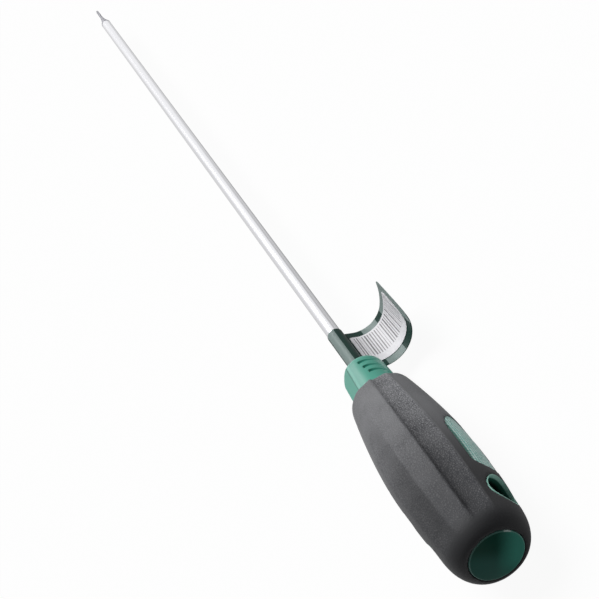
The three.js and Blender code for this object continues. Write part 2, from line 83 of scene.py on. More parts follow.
# How bright the floor is in reflections, by where it lies beside the blade; spans in mm
MIRRORED_LEFT = 0.66
MIRRORED_LEFT_SPAN = (1.5, 9.0)
MIRRORED_RIGHT = (0.28, 0.45)
MIRRORED_OUTER = (0.5, 0.68)
MIRRORED_OUTER_SPAN = (4.0, 26.0)
MIRRORED_FAR_SPAN = (120.0, 480.0)

# How bright the sky is in reflections, by direction; the dim parts have a side, two spans and a depth
SKY_SLOPE = (0.55, 0.1, 0.75)
SKY_SPAN = (-0.15, 0.55)
SKY_TOP = 0.85
SKY_BASE = 0.12
SKY_DIMMED = [(1.0, (0.26, 0.42), (0.26, 0.5), 0.22), (-1.0, (0.38, 0.54), (0.15, 0.42), 0.45)]

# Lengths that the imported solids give
GRIP_REAR_X, GRIP_FRONT_X = (corner[0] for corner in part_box("soft_grip"))
BLADE_ROOT_X, BLADE_TIP_X = (corner[0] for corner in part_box("blade"))
LABEL_REAR_X, LABEL_FRONT_X = (corner[0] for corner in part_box("label_film"))
STICKER_REAR_X, STICKER_FRONT_X = (corner[0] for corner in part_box("barcode_sticker"))
HANDLE_FRONT_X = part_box("handle_body")[1][0]
CAP_STEM_END_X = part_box("end_cap")[1][0]
CAP_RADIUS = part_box("end_cap")[1][2]

# Surfaces
SHARP_ANGLE = 40.0
SMOOTH_FACTOR = 0.5

# Soft grip
BELLY_X = 37.2 * MM
BELLY_RADIUS = 14.37 * MM
GRIP_REAR_RADIUS = 11.93 * MM
GRIP_FRONT_RADIUS = 10.35 * MM
SWELL_POWER = 1.75
REAR_ROUNDING_LENGTH = 7.5 * MM
REAR_ROUNDING_DEPTH = 3.6 * MM
FRONT_ROUNDING_LENGTH = 2.0 * MM
FRONT_ROUNDING_DEPTH = 1.6 * MM
GRIP_WALL = 2.6 * MM
GRIP_SIDES = 240
GRIP_STEP = 1.5 * MM
GRIP_VOXEL = 0.42 * MM
GRIP_SMOOTHINGS = 3
GRIP_END_STEPS = (8, 6)
UNDER_STEPS = 16

# Flat lands on the grip's top and underside, each between a long flute and a short one
LAND_START_ANGLE = -6.0
LAND_ANGLE = 27.0
LONG_FLUTE_ANGLE = 31.0
SHORT_FLUTE_ANGLE = 38.0
SHORT_FLUTE_START = 180.0 - LAND_ANGLE - SHORT_FLUTE_ANGLE
FLUTE_DEPTH = 1.3 * MM
FLUTE_FRONT_DEPTH = 0.7 * MM
FLUTE_WALL_POWER = 0.35
FLUTE_RISE_POWER = 0.95
SHORT_FLUTE_DEPTH = 0.85 * MM
SIDE_DEPTH = 0.3 * MM
SIDE_WALL_ANGLE = 2.0
SIDE_RISE_START = 6.0
SIDE_RISE_END = 24.0
FLUTE_REAR_X = 4.0 * MM
FLUTE_RUN_OUT = 7.0 * MM
SHORT_FLUTE_FRONT_X = 59.2 * MM

# Windows and hang hole
WINDOW_REAR_X = 23.1 * MM
WINDOW_FRONT_X = 49.5 * MM
WINDOW_HALF = 5.5 * MM
WINDOW_REAR_ROUNDING = 4.0 * MM
WINDOW_FRONT_ROUNDING = 9.0 * MM
WINDOW_RECESS = 0.3 * MM
WINDOW_SIDES = 96
HOLE_X = 14.3 * MM
HOLE_RADIUS = 5.38 * MM
HOLE_RIM_WIDTH = 0.27 * MM
HOLE_FLARE = 0.12 * MM
HOLE_FLARE_DEPTH = 0.9 * MM
HOLE_FLARE_STEPS = 5
HOLE_STEP = 1.0 * MM
HOLE_SIDES = 96
RIM_RECESS = 0.15 * MM
PIECE_GAP = 0.06 * MM

# Collar
COLLAR_REAR_RADIUS = 8.2 * MM
COLLAR_FRONT_RADIUS = 7.4 * MM
COLLAR_NOSE_ROUNDING = 3.5 * MM
COLLAR_NOSE_X = HANDLE_FRONT_X - COLLAR_NOSE_ROUNDING
COLLAR_NOSE_STEPS = 12
COLLAR_HIDDEN_LENGTH = 7.0 * MM
COLLAR_SIDES = 128
COLLAR_VOXEL = 0.165 * MM
COLLAR_SMOOTHINGS = 2
GROOVE_STARTS = [(91.2 * MM, 22.0), (88.0 * MM, 27.0), (84.8 * MM, 32.0)]
GROOVE_REACH = 62.0
GROOVE_MIDDLE_ANGLE = 60.0
GROOVE_STEPS = 24
GROOVE_SIDES = 20
GROOVE_RADIUS = 0.7 * MM
GROOVE_END_RADIUS = 0.4 * MM
GROOVE_DEPTH = 0.85 * MM
GROOVE_END_DEPTH = 0.05 * MM
GROOVE_SLANT = 1.4 * MM
FLAT_CENTRE_ANGLE = -38.0
FLAT_SHARE = 0.873
FLAT_HALF_WIDTH = 3.42 * MM
FLAT_OVERRUN = 1.2
BLADE_HOLE_GAP = 0.05 * MM

# Blade
BLADE_RADIUS = 2.5 * MM
BLADE_SIDES = 72
TIP_ACROSS_POINTS = 1.42 * MM
TIP_ACROSS_VALLEYS = 1.01 * MM
TIP_LOBES = 6
TIP_LOBE_LENGTH = 4.5 * MM
LOBES_INTO_NECK = 1.6 * MM
LOBE_STEPS = 6
NECK_LENGTH = 5.5 * MM
TAPER_LENGTH = 13.5 * MM
TAPER_POWER = 1.8
TAPER_STEPS = 14
TAPER_X = BLADE_TIP_X - TIP_LOBE_LENGTH - NECK_LENGTH - TAPER_LENGTH
TIP_CHAMFER = 0.15 * MM
BLADE_SHARP_ANGLE = 35.0

# End cap
CAP_THICKNESS = 1.9 * MM
CAP_EDGE = 0.5 * MM
CAP_EDGE_TURN = 170.0
CAP_EDGE_STEPS = 8
CAP_DOME = 0.35 * MM
CAP_STEM_RADIUS = 3.0 * MM
CAP_SIDES = 128
CAP_DOME_STEPS = 12
CAP_SHARP_ANGLE = 50.0

# Flag label
FILM_SHEET = 0.13 * MM
LAYER_OFFSET = 0.075 * MM
LOOP_RADIUS = 2.68 * MM
LOOP_MIDDLE = 2.75 * MM
ROOT_FILLET = 0.8 * MM
FILLET_STEPS = 8
TAIL_START_HEADING = -52.0
TAIL_STRAIGHT = 3.2 * MM
TAIL_REAR_BENDS = [(11.0 * MM, -52.0, 60.0), (40.0 * MM, 60.0, 74.0)]
TAIL_FRONT_BENDS = [(9.5 * MM, -52.0, 40.0), (22.0 * MM, 40.0, 66.0)]
TAIL_STRAIGHT_STEPS = 10
TAIL_BEND_STEPS = (72, 40)
TAIL_END_LEAF = (9.0 * MM, 20.5 * MM)
STICKER_END_LEAF = (7.5 * MM, 14.6 * MM)
TAIL_FRONT_CORNER = 1.6 * MM
LOOP_STEP = 6.0
LOOP_SEEN = 235.0
STICKER_LIFT = 0.26 * MM
STICKER_PAPER = 0.12 * MM
STICKER_START = 0.75 * MM
STICKER_END_BORDER = 3.2 * MM
STICKER_CORNER = 1.2 * MM

# Painted shade and painted highlight on the rubber beside the lands: at the rear, at the front, and the
# span between in mm
WALL_PAINTED_SHADING = (0.55, 1.14, 24.0, 72.0)
CREST_PAINTED_LIGHT = (1.25, 1.7, 46.0, 74.0)
SIDE_PAINTED_SHADE = (0.42, 0.92, 18.0, 56.0)
FLANK_PAINTED_SHADE = (0.76, 0.97, 14.0, 56.0)
SHORT_FLUTE_PAINTED_SHADE = (0.66, 1.0, 30.0, 66.0)
PAINTED_SHADING_REAR = (3.0 * MM, 9.0 * MM)
WALL_PAINTED_SHADING_POWER = 1.5

# Where the painted shade and highlight blend, in degrees
WALL_BLEND = (0.0, 2.5)
CREST_BLEND = (0.0, 3.0)
FLANK_BLEND = (40.0, 60.0)
SHORT_FLUTE_BLEND = (4.0, 11.0)
SHORT_FLUTE_END_BLEND = (SHORT_FLUTE_ANGLE - 3.0, SHORT_FLUTE_ANGLE)

# The rubber's grain: how strong it is, and the angles and lengths over which it changes
GRAIN_CELLS = 1.45
GRAIN_BEND = 0.9
LAND_GRAIN = 0.5
FLANK_GRAIN = 0.8
SIDE_GRAIN = 0.25
GRAIN_REAR = (2.5 * MM, 8.0 * MM)
FLUTE_GRAIN_BLEND = (-2.0, 2.0)
SIDE_GRAIN_BLEND = (-1.0, 2.0)
SHORT_GRAIN_BLEND = (-6.0, 0.0)

# Finishes, with places and lengths in mm
# Painted shade at the grip's rear and painted light towards its front
REAR_PAINTED_SHADE_SPAN = (2.0, 9.5)
FRONT_PAINTED_LIGHT_SPAN = (8.0, 60.0)
GROOVE_PAINTED_SHADE_SPAN = (0.12, 0.6)
GROOVE_SIDE_SPAN = (3.0, 5.0)
GROOVE_TINT_SPAN = (4.0, 7.0)
NOSE_PLAIN = 2.0
# Painted shade, a painted shadow line and a painted glint on the collar's thumb flats
FLAT_OUT_SPAN = (5.5, 6.0)
FLAT_EDGE_SPAN = (-0.3, 0.0)
FLAT_SHADOW_BAND = (-1.0, -0.5, 0.0, 0.15)
FLAT_GLINT_BAND = (0.0, 0.2, 0.6, 1.4)
PAD_DIAMONDS = 3.4
# Painted shadow along the pads' edges
PAD_EDGE_SHADOW_SPAN = (-1.1, -0.2)
# Painted light at the hole's lip and painted shade inside it
LIP_PAINTED_SHADE_SPAN = (0.4, 0.9)
LIP_LIT_FRONT_SPAN = (-1.0, 2.0)
LIP_LIT_FRONT_DEPTH = 0.6
HOLE_PAINTED_SHADE_SPAN = (1.5, 3.0)
TIP_FINISH_SPAN = (-1.7, -1.3)
# Painted light and shade on the end cap: a paler rim with a glint, a lit side and a shaded side
CAP_RIM_SPAN = (-0.5, -0.15)
CAP_LIGHT_SIDE = (-0.66, -0.75)
CAP_LIGHT_SPAN = (-1.5, 6.0)
CAP_LOW_SIDE = (0.86, -0.51)
CAP_LOW_SPAN = (0.0, 8.0)
CAP_PAINTED_SHADE_SPAN = (-3.0, 2.5)
CAP_GLINT_BAND = (1.0, 1.8, 3.0, 4.0)
CAP_GLINT_LOW_SPAN = (-8.0, -7.4)
FILM_GREENS = ((0.006, 0.036, 0.027), (0.25, 0.318, 0.304))
BAND_START = -20.0
BAND_END = 40.0
LOOP_BANDS = (-8.2, -4.7)
REAR_BANDS = (7.2, 14.7, 25.0)
FRONT_BANDS = (6.3, 12.6, 16.2)
BAR_PITCH = 1.0
BAR_WIDTHS = (0.18, 0.5)
BAR_REAR_MARGIN = 3.6
BAR_FRONT_MARGIN = 0.9
BARS_START = 2.2
BARS_END = 25.5


# Modelling

def deselect():
    if bpy.context.mode != "OBJECT":
        bpy.ops.object.mode_set(mode="OBJECT")
    bpy.ops.object.select_all(action="DESELECT")


def leave_editing():
    bpy.ops.object.mode_set(mode="OBJECT")


def make_active(piece):
    deselect()
    piece.select_set(True)
    bpy.context.view_layer.objects.active = piece


def pick_all():
    bpy.ops.mesh.select_all(action="SELECT")


def edit_all(piece):
    make_active(piece)
    bpy.ops.object.mode_set(mode="EDIT")
    pick_all()


def open_piece(name):
    """Names the primitive just added, puts its place in its mesh and opens it for editing."""
    piece = bpy.context.object
    piece.name = name
    piece.data.name = name
    bpy.ops.object.transform_apply(location=True, rotation=True, scale=True)
    bpy.ops.object.mode_set(mode="EDIT")
    return piece


def start_ring(name, sides, radius, place, turned):
    """A circle that a piece is drawn out from, open for editing."""
    deselect()
    bpy.ops.mesh.primitive_circle_add(vertices=sides, radius=radius, location=place, rotation=turned)
    return open_piece(name)


def draw_out(move):
    bpy.ops.mesh.extrude_region_move(TRANSFORM_OT_translate={"value": move})


def resize(ratios, centre):
    bpy.ops.transform.resize(value=ratios, center_override=centre)


def rotate(angle, axis, centre):
    bpy.ops.transform.rotate(value=angle, orient_axis=axis, center_override=centre)


def close_piece():
    """Closes open ends, turns the faces outwards and leaves edit mode."""
    pick_all()
    bpy.ops.mesh.fill_holes(sides=0)
    bpy.ops.mesh.normals_make_consistent(inside=False)
    leave_editing()


def edited(piece):
    """The mesh of the piece being edited, with its vertices numbered."""
    mesh = bmesh.from_edit_mesh(piece.data)
    mesh.verts.index_update()
    mesh.verts.ensure_lookup_table()
    return mesh


def pick(piece, indices):
    """Selects vertices by their numbers, with the edges and faces between them."""
    bpy.ops.mesh.select_all(action="DESELECT")
    mesh = edited(piece)
    for index in indices:
        mesh.verts[index].select = True
    mesh.select_flush(True)
    bmesh.update_edit_mesh(piece.data)


def pick_where(piece, test):
    """Selects the vertices whose place passes a test."""
    mesh = edited(piece)
    pick(piece, [vertex.index for vertex in mesh.verts if test(vertex.co)])


def angle_of(place):
    """The angle round the blade's line, in degrees from +Z towards -Y."""
    return math.degrees(math.atan2(-place.y, place.z))


def around(angle, radius):
    """A place in the Y, Z plane at an angle and a distance from the blade's line."""
    return (-radius * math.sin(math.radians(angle)), radius * math.cos(math.radians(angle)))


def size_ring(piece, x, ratio_at):
    """Sizes the selected ring about the blade's line, each vertex by the ratio for its angle."""
    mesh = edited(piece)
    ring = [vertex.index for vertex in mesh.verts if vertex.select]
    by_ratio = {}
    for index in ring:
        ratio = round(ratio_at(angle_of(mesh.verts[index].co)), 6)
        by_ratio.setdefault(ratio, []).append(index)
    for ratio, indices in by_ratio.items():
        if len(by_ratio) > 1:
            pick(piece, indices)
        resize((1.0, ratio, ratio), (x, 0.0, 0.0))
    pick(piece, ring)


def draw_rings(name, sides, rings):
    """Draws a closed piece out ring by ring; a ring is a place along X and a radius for each angle."""
    first_x, first_radius = rings[0]
    piece = start_ring(name, sides, BLADE_RADIUS, (first_x, 0.0, 0.0), (0.0, math.pi / 2, 0.0))
    size_ring(piece, first_x, lambda angle: first_radius(angle) / BLADE_RADIUS)
    for (x, radius), (next_x, next_radius) in zip(rings, rings[1:]):
        draw_out((next_x - x, 0.0, 0.0))
        size_ring(piece, next_x, lambda angle: next_radius(angle) / radius(angle))
    close_piece()
    return piece


def round_ring(x, radius):
    return (x, lambda angle: radius)


def draw_round(name, sides, outline):
    """Draws a round piece out along an outline of places along X with their radii."""
    return draw_rings(name, sides, [round_ring(x, radius) for x, radius in outline])


def arc(centre_x, centre_radius, rounding, start, end, steps):
    """Points of an arc in the plane of X and the radius; its angles are in degrees from +X."""
    turns = [math.radians(start + (end - start) * step / steps) for step in range(steps + 1)]
    spokes = [(rounding * math.cos(turn), rounding * math.sin(turn)) for turn in turns]
    return [(centre_x + along, centre_radius + out) for along, out in spokes]


def apply_modifier(piece, kind, **settings):
    make_active(piece)
    step = piece.modifiers.new(kind.lower(), kind)
    for name, setting in settings.items():
        setattr(step, name, setting)
    bpy.ops.object.modifier_apply(modifier=step.name)


def combine(piece, other, operation):
    """Cuts a piece by another form, or keeps what both share, and removes the other form."""
    apply_modifier(piece, "BOOLEAN", operation=operation, object=other, solver="MANIFOLD")
    bpy.data.meshes.remove(other.data)


def copy_of(piece, name):
    """A copy of a piece, with its own mesh."""
    make_active(piece)
    bpy.ops.object.duplicate()
    made = bpy.context.object
    made.name = name
    made.data.name = name
    return made


def shrink(piece, amount):
    """Sets a piece's surface in by an even amount."""
    edit_all(piece)
    bpy.ops.transform.shrink_fatten(value=-amount)
    leave_editing()


def soften(piece, voxel, smoothings):
    """Gives a cut piece an even skin and rounds its edges."""
    apply_modifier(piece, "REMESH", mode="VOXEL", voxel_size=voxel, use_smooth_shade=True)
    apply_modifier(piece, "SMOOTH", factor=SMOOTH_FACTOR, iterations=smoothings)


def press_in(piece, depth_at):
    """Presses a piece's surface in along its normals, by a depth for each vertex."""
    deepest = max(depth_at(vertex.co) for vertex in piece.data.vertices)
    pressed = piece.vertex_groups.new(name="pressed")
    for vertex in piece.data.vertices:
        pressed.add([vertex.index], depth_at(vertex.co) / deepest, "REPLACE")
    apply_modifier(piece, "DISPLACE", vertex_group="pressed", strength=-deepest, mid_level=0.0)
    piece.vertex_groups.remove(piece.vertex_groups["pressed"])


def note(piece, name, value_at):
    """Notes a number on each vertex of a piece, for its finish."""
    numbers = piece.data.attributes.new(name, "FLOAT", "POINT")
    for vertex, number in zip(piece.data.vertices, numbers.data):
        number.value = value_at(vertex.co)


def shade(piece, sharp_angle=SHARP_ANGLE):
    make_active(piece)
    bpy.ops.object.shade_smooth_by_angle(angle=math.radians(sharp_angle))


# The handle's forms

def blend_in(value, low, high):
    """A smooth step from 0 at low to 1 at high."""
    share = min(max((value - low) / (high - low), 0.0), 1.0)
    return share * share * (3.0 - 2.0 * share)


def part_way(share, first, second):
    return first + (second - first) * share


def shares(steps):
    """The shares of a way that equal steps have gone, up to 1."""
    return [step / steps for step in range(1, steps + 1)]


def swell_radius(x):
    """The radius of the grip's lands, before its two ends are rounded."""
    if x < BELLY_X:
        return BELLY_RADIUS - (BELLY_RADIUS - GRIP_REAR_RADIUS) * ((BELLY_X - x) / BELLY_X) ** SWELL_POWER
    forward = (x - BELLY_X) / (GRIP_FRONT_X - BELLY_X)
    return BELLY_RADIUS - (BELLY_RADIUS - GRIP_FRONT_RADIUS) * forward ** SWELL_POWER


def rounded_off(distance, length, depth):
    """How much an end's rounding takes off the radius, at a distance from that end."""
    if distance >= length:
        return 0.0
    return depth * (1.0 - math.sqrt(max(0.0, 1.0 - (1.0 - distance / length) ** 2)))


def land_radius(x):
    rear = rounded_off(x - GRIP_REAR_X, REAR_ROUNDING_LENGTH, REAR_ROUNDING_DEPTH)
    front = rounded_off(GRIP_FRONT_X - x, FRONT_ROUNDING_LENGTH, FRONT_ROUNDING_DEPTH)
    return swell_radius(x) - rear - front


def fluted(x):
    """How far the form has gone from its round rear end to its flutes and flat lands."""
    return blend_in(x, FLUTE_REAR_X, FLUTE_REAR_X + FLUTE_RUN_OUT)


def long_depth(x):
    """How deep a long flute is at a place along X: it gets shallower to the front."""
    to_front = blend_in(x, BELLY_X, GRIP_FRONT_X)
    return part_way(to_front, FLUTE_DEPTH, FLUTE_FRONT_DEPTH) * fluted(x)


def short_depth(x):
    """How deep a short flute is at a place along X: it runs out towards the front."""
    gone = blend_in(x, SHORT_FLUTE_FRONT_X - FLUTE_RUN_OUT, SHORT_FLUTE_FRONT_X)
    return SHORT_FLUTE_DEPTH * (1.0 - gone) * fluted(x)


def long_hollow(share):
    """A long flute's hollow across its width: a steep wall beside the land, then a gentle rise."""
    def hollow(place):
        return place ** FLUTE_WALL_POWER * (1.0 - place) ** FLUTE_RISE_POWER

    return hollow(share) / hollow(FLUTE_WALL_POWER / (FLUTE_WALL_POWER + FLUTE_RISE_POWER))


def flute_angles(angle):
    """How far an angle lies past a land, past the long flute's crest beside it and into a short flute."""
    past = (angle - LAND_START_ANGLE) % 180.0 - LAND_ANGLE
    return past, past - LONG_FLUTE_ANGLE, past - SHORT_FLUTE_START


def hollow_at(x, angle):
    """How far the grip is hollowed: in a long flute, on the side beyond it or in a short flute."""
    past, past_crest, into_short = flute_angles(angle)
    if past <= 0.0:
        return 0.0
    if past_crest <= 0.0:
        return long_depth(x) * long_hollow(past / LONG_FLUTE_ANGLE)
    if into_short > 0.0:
        return short_depth(x) * math.sin(math.pi * into_short / SHORT_FLUTE_ANGLE) ** 2
    rise = blend_in(past_crest, SIDE_RISE_START, SIDE_RISE_END)
    return SIDE_DEPTH * blend_in(past_crest, 0.0, SIDE_WALL_ANGLE) * (1.0 - rise) * fluted(x)


def flat_at(x, angle):
    """How far a land's flat lies under the round form."""
    from_middle = flute_angles(angle)[0] + LAND_ANGLE / 2
    if abs(from_middle) > LAND_ANGLE / 2:
        return 0.0
    edge = math.cos(math.radians(LAND_ANGLE / 2)) / math.cos(math.radians(from_middle))
    return land_radius(x) * (1.0 - edge) * fluted(x)


def pressed_at(place):
    """How far the grip's surface lies under its round form."""
    angle = angle_of(place)
    return hollow_at(place.x, angle) + flat_at(place.x, angle)


def painted_shading_at(place):
    """How bright the rubber is painted beside the lands: painted shade darkest at a long flute's wall, a
    painted highlight at its crest.
    """
    past, past_crest, into_short = flute_angles(angle_of(place))

    def along(rear, front, start, end):
        return part_way(blend_in(place.x, start * MM, end * MM), rear, front)

    crest = along(*CREST_PAINTED_LIGHT)
    flank = along(*FLANK_PAINTED_SHADE)
    if past <= 0.0:
        tone = 1.0
    elif past_crest <= 0.0:
        hollow = part_way((past / LONG_FLUTE_ANGLE) ** WALL_PAINTED_SHADING_POWER, along(*WALL_PAINTED_SHADING), crest)
        tone = part_way(blend_in(past, *WALL_BLEND), 1.0, hollow)
    elif into_short > 0.0:
        hollow = part_way(blend_in(into_short, *SHORT_FLUTE_BLEND), flank, along(*SHORT_FLUTE_PAINTED_SHADE))
        tone = part_way(blend_in(into_short, *SHORT_FLUTE_END_BLEND), hollow, 1.0)
    else:
        side = part_way(blend_in(past_crest, *CREST_BLEND), crest, along(*SIDE_PAINTED_SHADE))
        tone = part_way(blend_in(past_crest, *FLANK_BLEND), side, flank)
    return part_way(blend_in(place.x, *PAINTED_SHADING_REAR), 1.0, tone)


def grained_at(place):
    """How strong the grip's grain is: strongest in the long flutes, weakest on the sides."""
    past, past_crest, into_short = flute_angles(angle_of(place))
    on_side = blend_in(past_crest, *SIDE_GRAIN_BLEND)
    in_short = blend_in(into_short, *SHORT_GRAIN_BLEND)
    in_flute = blend_in(past, *FLUTE_GRAIN_BLEND) * (1.0 - on_side)
    rearward = 1.0 - blend_in(place.x, BELLY_X, SHORT_FLUTE_FRONT_X)
    on_land = part_way(rearward, LAND_GRAIN, FLANK_GRAIN)
    side_grain = SIDE_GRAIN * on_side * (1.0 - in_short)
    grain = on_land * (1.0 - on_side + in_short) + (1.0 - on_land) * in_flute + side_grain
    return grain * blend_in(place.x, *GRAIN_REAR)


def make_grip_form():
    """The grip's outer form, full inside."""
    rear_end = GRIP_REAR_X + REAR_ROUNDING_LENGTH
    front_start = GRIP_FRONT_X - FRONT_ROUNDING_LENGTH
    rear_steps, front_steps = GRIP_END_STEPS
    places = [x for x, _ in arc(rear_end, 0.0, REAR_ROUNDING_LENGTH, 180, 90, rear_steps)]
    steps = math.ceil((front_start - rear_end) / GRIP_STEP)
    places += [rear_end + (front_start - rear_end) * step / steps for step in range(1, steps)]
    places += [x for x, _ in arc(front_start, 0.0, FRONT_ROUNDING_LENGTH, 90, 0, front_steps)]
    grip = draw_round("grip_sleeve", GRIP_SIDES, [(x, land_radius(x)) for x in places])
    press_in(grip, pressed_at)
    return grip


def make_window_form(grow):
    """A window's form: a circle's halves drawn out to its two ends, then drawn through the handle."""
    reach = 2 * BELLY_RADIUS
    half = WINDOW_HALF + grow
    middle = (0.0, -reach, 0.0)
    form = start_ring("window_form", WINDOW_SIDES, half, middle, (math.pi / 2, 0.0, 0.0))
    pick_all()
    rotate(math.pi / WINDOW_SIDES, "Y", middle)
    for end_x, rounding, ahead in (
        (WINDOW_FRONT_X, WINDOW_FRONT_ROUNDING, 1.0), (WINDOW_REAR_X, WINDOW_REAR_ROUNDING, -1.0)
    ):
        pick_where(form, lambda place: place.x * ahead > 0.0)
        resize(((rounding + grow) / half, 1.0, 1.0), middle)
        bpy.ops.transform.translate(value=(end_x - ahead * rounding, 0.0, 0.0))
    pick_all()
    bpy.ops.mesh.edge_face_add()
    draw_out((0.0, 2 * reach, 0.0))
    close_piece()
    return form


def make_hole_form(outline):
    """A round form about the hang hole's line, from places along Y with their radii."""
    first_y, first_radius = outline[0]
    place = (HOLE_X, first_y, 0.0)
    form = start_ring("hole_form", HOLE_SIDES, first_radius, place, (math.pi / 2, 0.0, 0.0))
    pick_all()
    for (y, radius), (next_y, next_radius) in zip(outline, outline[1:]):
        draw_out((0.0, next_y - y, 0.0))
        ratio = next_radius / radius
        resize((ratio, 1.0, ratio), (HOLE_X, next_y, 0.0))
    close_piece()
    return form


def make_under_form():
    """The hard handle's round form under the grip, for hollowing the grip out."""
    rear_x = CAP_THICKNESS + PIECE_GAP
    outline = []
    for step in range(UNDER_STEPS + 1):
        x = rear_x + (GRIP_FRONT_X - rear_x) * step / UNDER_STEPS
        outline.append((x, max(swell_radius(x) - GRIP_WALL, COLLAR_REAR_RADIUS) + PIECE_GAP / 2))
    outline.append((GRIP_FRONT_X + GRIP_WALL, COLLAR_REAR_RADIUS + PIECE_GAP / 2))
    return draw_round("under_form", GRIP_SIDES, outline)


def make_cap_seat():
    """The round seat for the end cap in the grip's rear."""
    ends = (GRIP_REAR_X - CAP_THICKNESS, 2 * CAP_THICKNESS)
    return draw_round("cap_seat", CAP_SIDES, [(x, CAP_RADIUS + PIECE_GAP) for x in ends])


def make_handle():
    """The soft grip, the window pads and the hole's lining, all cut from the grip's form."""
    grip = make_grip_form()
    reach = 2 * BELLY_RADIUS
    rim = HOLE_RADIUS + HOLE_RIM_WIDTH
    pads = copy_of(grip, "window_pads")
    shrink(pads, WINDOW_RECESS)
    combine(pads, make_window_form(0.0), "INTERSECT")
    lining = copy_of(grip, "hole_lining")
    shrink(lining, RIM_RECESS)
    combine(lining, make_hole_form([(-reach, rim), (reach, rim)]), "INTERSECT")
    mouth = land_radius(HOLE_X)
    inner = mouth - HOLE_FLARE_DEPTH
    steps = math.ceil(inner / HOLE_STEP)
    bore = [(inner * step / steps, HOLE_RADIUS) for step in range(1, steps + 1)]
    for share in shares(HOLE_FLARE_STEPS):
        bore.append((inner + HOLE_FLARE_DEPTH * share, HOLE_RADIUS + HOLE_FLARE * share ** 2))
    bore.append((reach, HOLE_RADIUS + HOLE_FLARE))
    bore = [(-y, radius) for y, radius in reversed(bore)] + [(0.0, HOLE_RADIUS)] + bore
    combine(lining, make_hole_form(bore), "DIFFERENCE")
    combine(grip, make_under_form(), "DIFFERENCE")
    combine(grip, make_cap_seat(), "DIFFERENCE")
    combine(grip, make_window_form(PIECE_GAP), "DIFFERENCE")
    combine(grip, make_hole_form([(-reach, rim + PIECE_GAP), (reach, rim + PIECE_GAP)]), "DIFFERENCE")
    soften(grip, GRIP_VOXEL, GRIP_SMOOTHINGS)
    shade(lining)
    shade(pads)
    # Painted shade and highlight beside the lands, noted for the rubber's colour
    note(grip, "tone", painted_shading_at)
    note(grip, "grain", grained_at)
    note(lining, "depth", lambda place: land_radius(place.x) - math.hypot(place.y, place.z))
    return grip, pads, lining


def collar_radius(x):
    """The collar's radius at a place along X, behind its rounded nose."""
    share = (x - GRIP_FRONT_X) / (COLLAR_NOSE_X - GRIP_FRONT_X)
    return part_way(share, COLLAR_REAR_RADIUS, COLLAR_FRONT_RADIUS)


def make_groove_form(start_x, start_angle):
    """A finger groove's form: a round bar bent round the collar that gets thinner on its way out."""
    reach = collar_radius(start_x) - GROOVE_DEPTH + GROOVE_RADIUS
    place = Vector((start_x, *around(start_angle, reach)))
    turned = (math.radians(start_angle) + math.pi / 2, 0.0, 0.0)
    form = start_ring("groove_form", GROOVE_SIDES, GROOVE_RADIUS, place, turned)
    radius = GROOVE_RADIUS
    for share in shares(GROOVE_STEPS):
        angle = start_angle + GROOVE_REACH * share
        x = start_x - GROOVE_SLANT * share * share
        next_radius = part_way(share, GROOVE_RADIUS, GROOVE_END_RADIUS)
        depth = part_way((1.0 - share) ** 2, GROOVE_END_DEPTH, GROOVE_DEPTH)
        next_place = Vector((x, *around(angle, collar_radius(x) - depth + next_radius)))
        draw_out(next_place - place)
        rotate(-math.radians(GROOVE_REACH / GROOVE_STEPS), "X", next_place)
        resize((next_radius / radius,) * 3, next_place)
        place = next_place
        radius = next_radius
    close_piece()
    return form


def turn_half(form):
    """Turns a form half round the blade's line."""
    edit_all(form)
    rotate(math.pi, "X", (0.0, 0.0, 0.0))
    leave_editing()


def make_flat_form():
    """What a thumb flat takes off the collar: a block whose underside follows the collar's taper."""
    middle_x = (GRIP_FRONT_X + HANDLE_FRONT_X) / 2
    length = HANDLE_FRONT_X - GRIP_FRONT_X
    distance = collar_radius(middle_x) * FLAT_SHARE
    deselect()
    bpy.ops.mesh.primitive_cube_add(
        size=2 * COLLAR_REAR_RADIUS, location=(middle_x, 0.0, distance + COLLAR_REAR_RADIUS)
    )
    form = open_piece("flat_form")
    pick_all()
    fall = (COLLAR_REAR_RADIUS - COLLAR_FRONT_RADIUS) * FLAT_SHARE
    slope = math.atan2(fall, length - COLLAR_NOSE_ROUNDING)
    underside = (middle_x, 0.0, distance)
    long_ratio = FLAT_OVERRUN * length / COLLAR_REAR_RADIUS / 2
    resize((long_ratio, FLAT_HALF_WIDTH / COLLAR_REAR_RADIUS, 1.0), underside)
    rotate(-slope, "Y", underside)
    rotate(-math.radians(FLAT_CENTRE_ANGLE), "X", (middle_x, 0.0, 0.0))
    leave_editing()
    return form


def make_collar():
    """The collar in front of the grip, with its thumb flats and finger grooves."""
    rear_x = GRIP_FRONT_X - COLLAR_HIDDEN_LENGTH
    nose_line = COLLAR_FRONT_RADIUS - COLLAR_NOSE_ROUNDING
    outline = [(rear_x, COLLAR_REAR_RADIUS), (GRIP_FRONT_X, COLLAR_REAR_RADIUS)]
    outline += arc(COLLAR_NOSE_X, nose_line, COLLAR_NOSE_ROUNDING, 90, 0, COLLAR_NOSE_STEPS)
    collar = draw_round("collar", COLLAR_SIDES, outline)
    for form_maker, places in ((make_groove_form, GROOVE_STARTS), (make_flat_form, [()])):
        for place in places:
            for half_turned in (False, True):
                form = form_maker(*place)
                if half_turned:
                    turn_half(form)
                combine(collar, form, "DIFFERENCE")
    room = BLADE_RADIUS + BLADE_HOLE_GAP
    room_ends = (GRIP_FRONT_X - 2 * COLLAR_HIDDEN_LENGTH, 2 * HANDLE_FRONT_X)
    combine(collar, draw_round("blade_room", BLADE_SIDES, [(x, room) for x in room_ends]), "DIFFERENCE")
    soften(collar, COLLAR_VOXEL, COLLAR_SMOOTHINGS)
    return collar


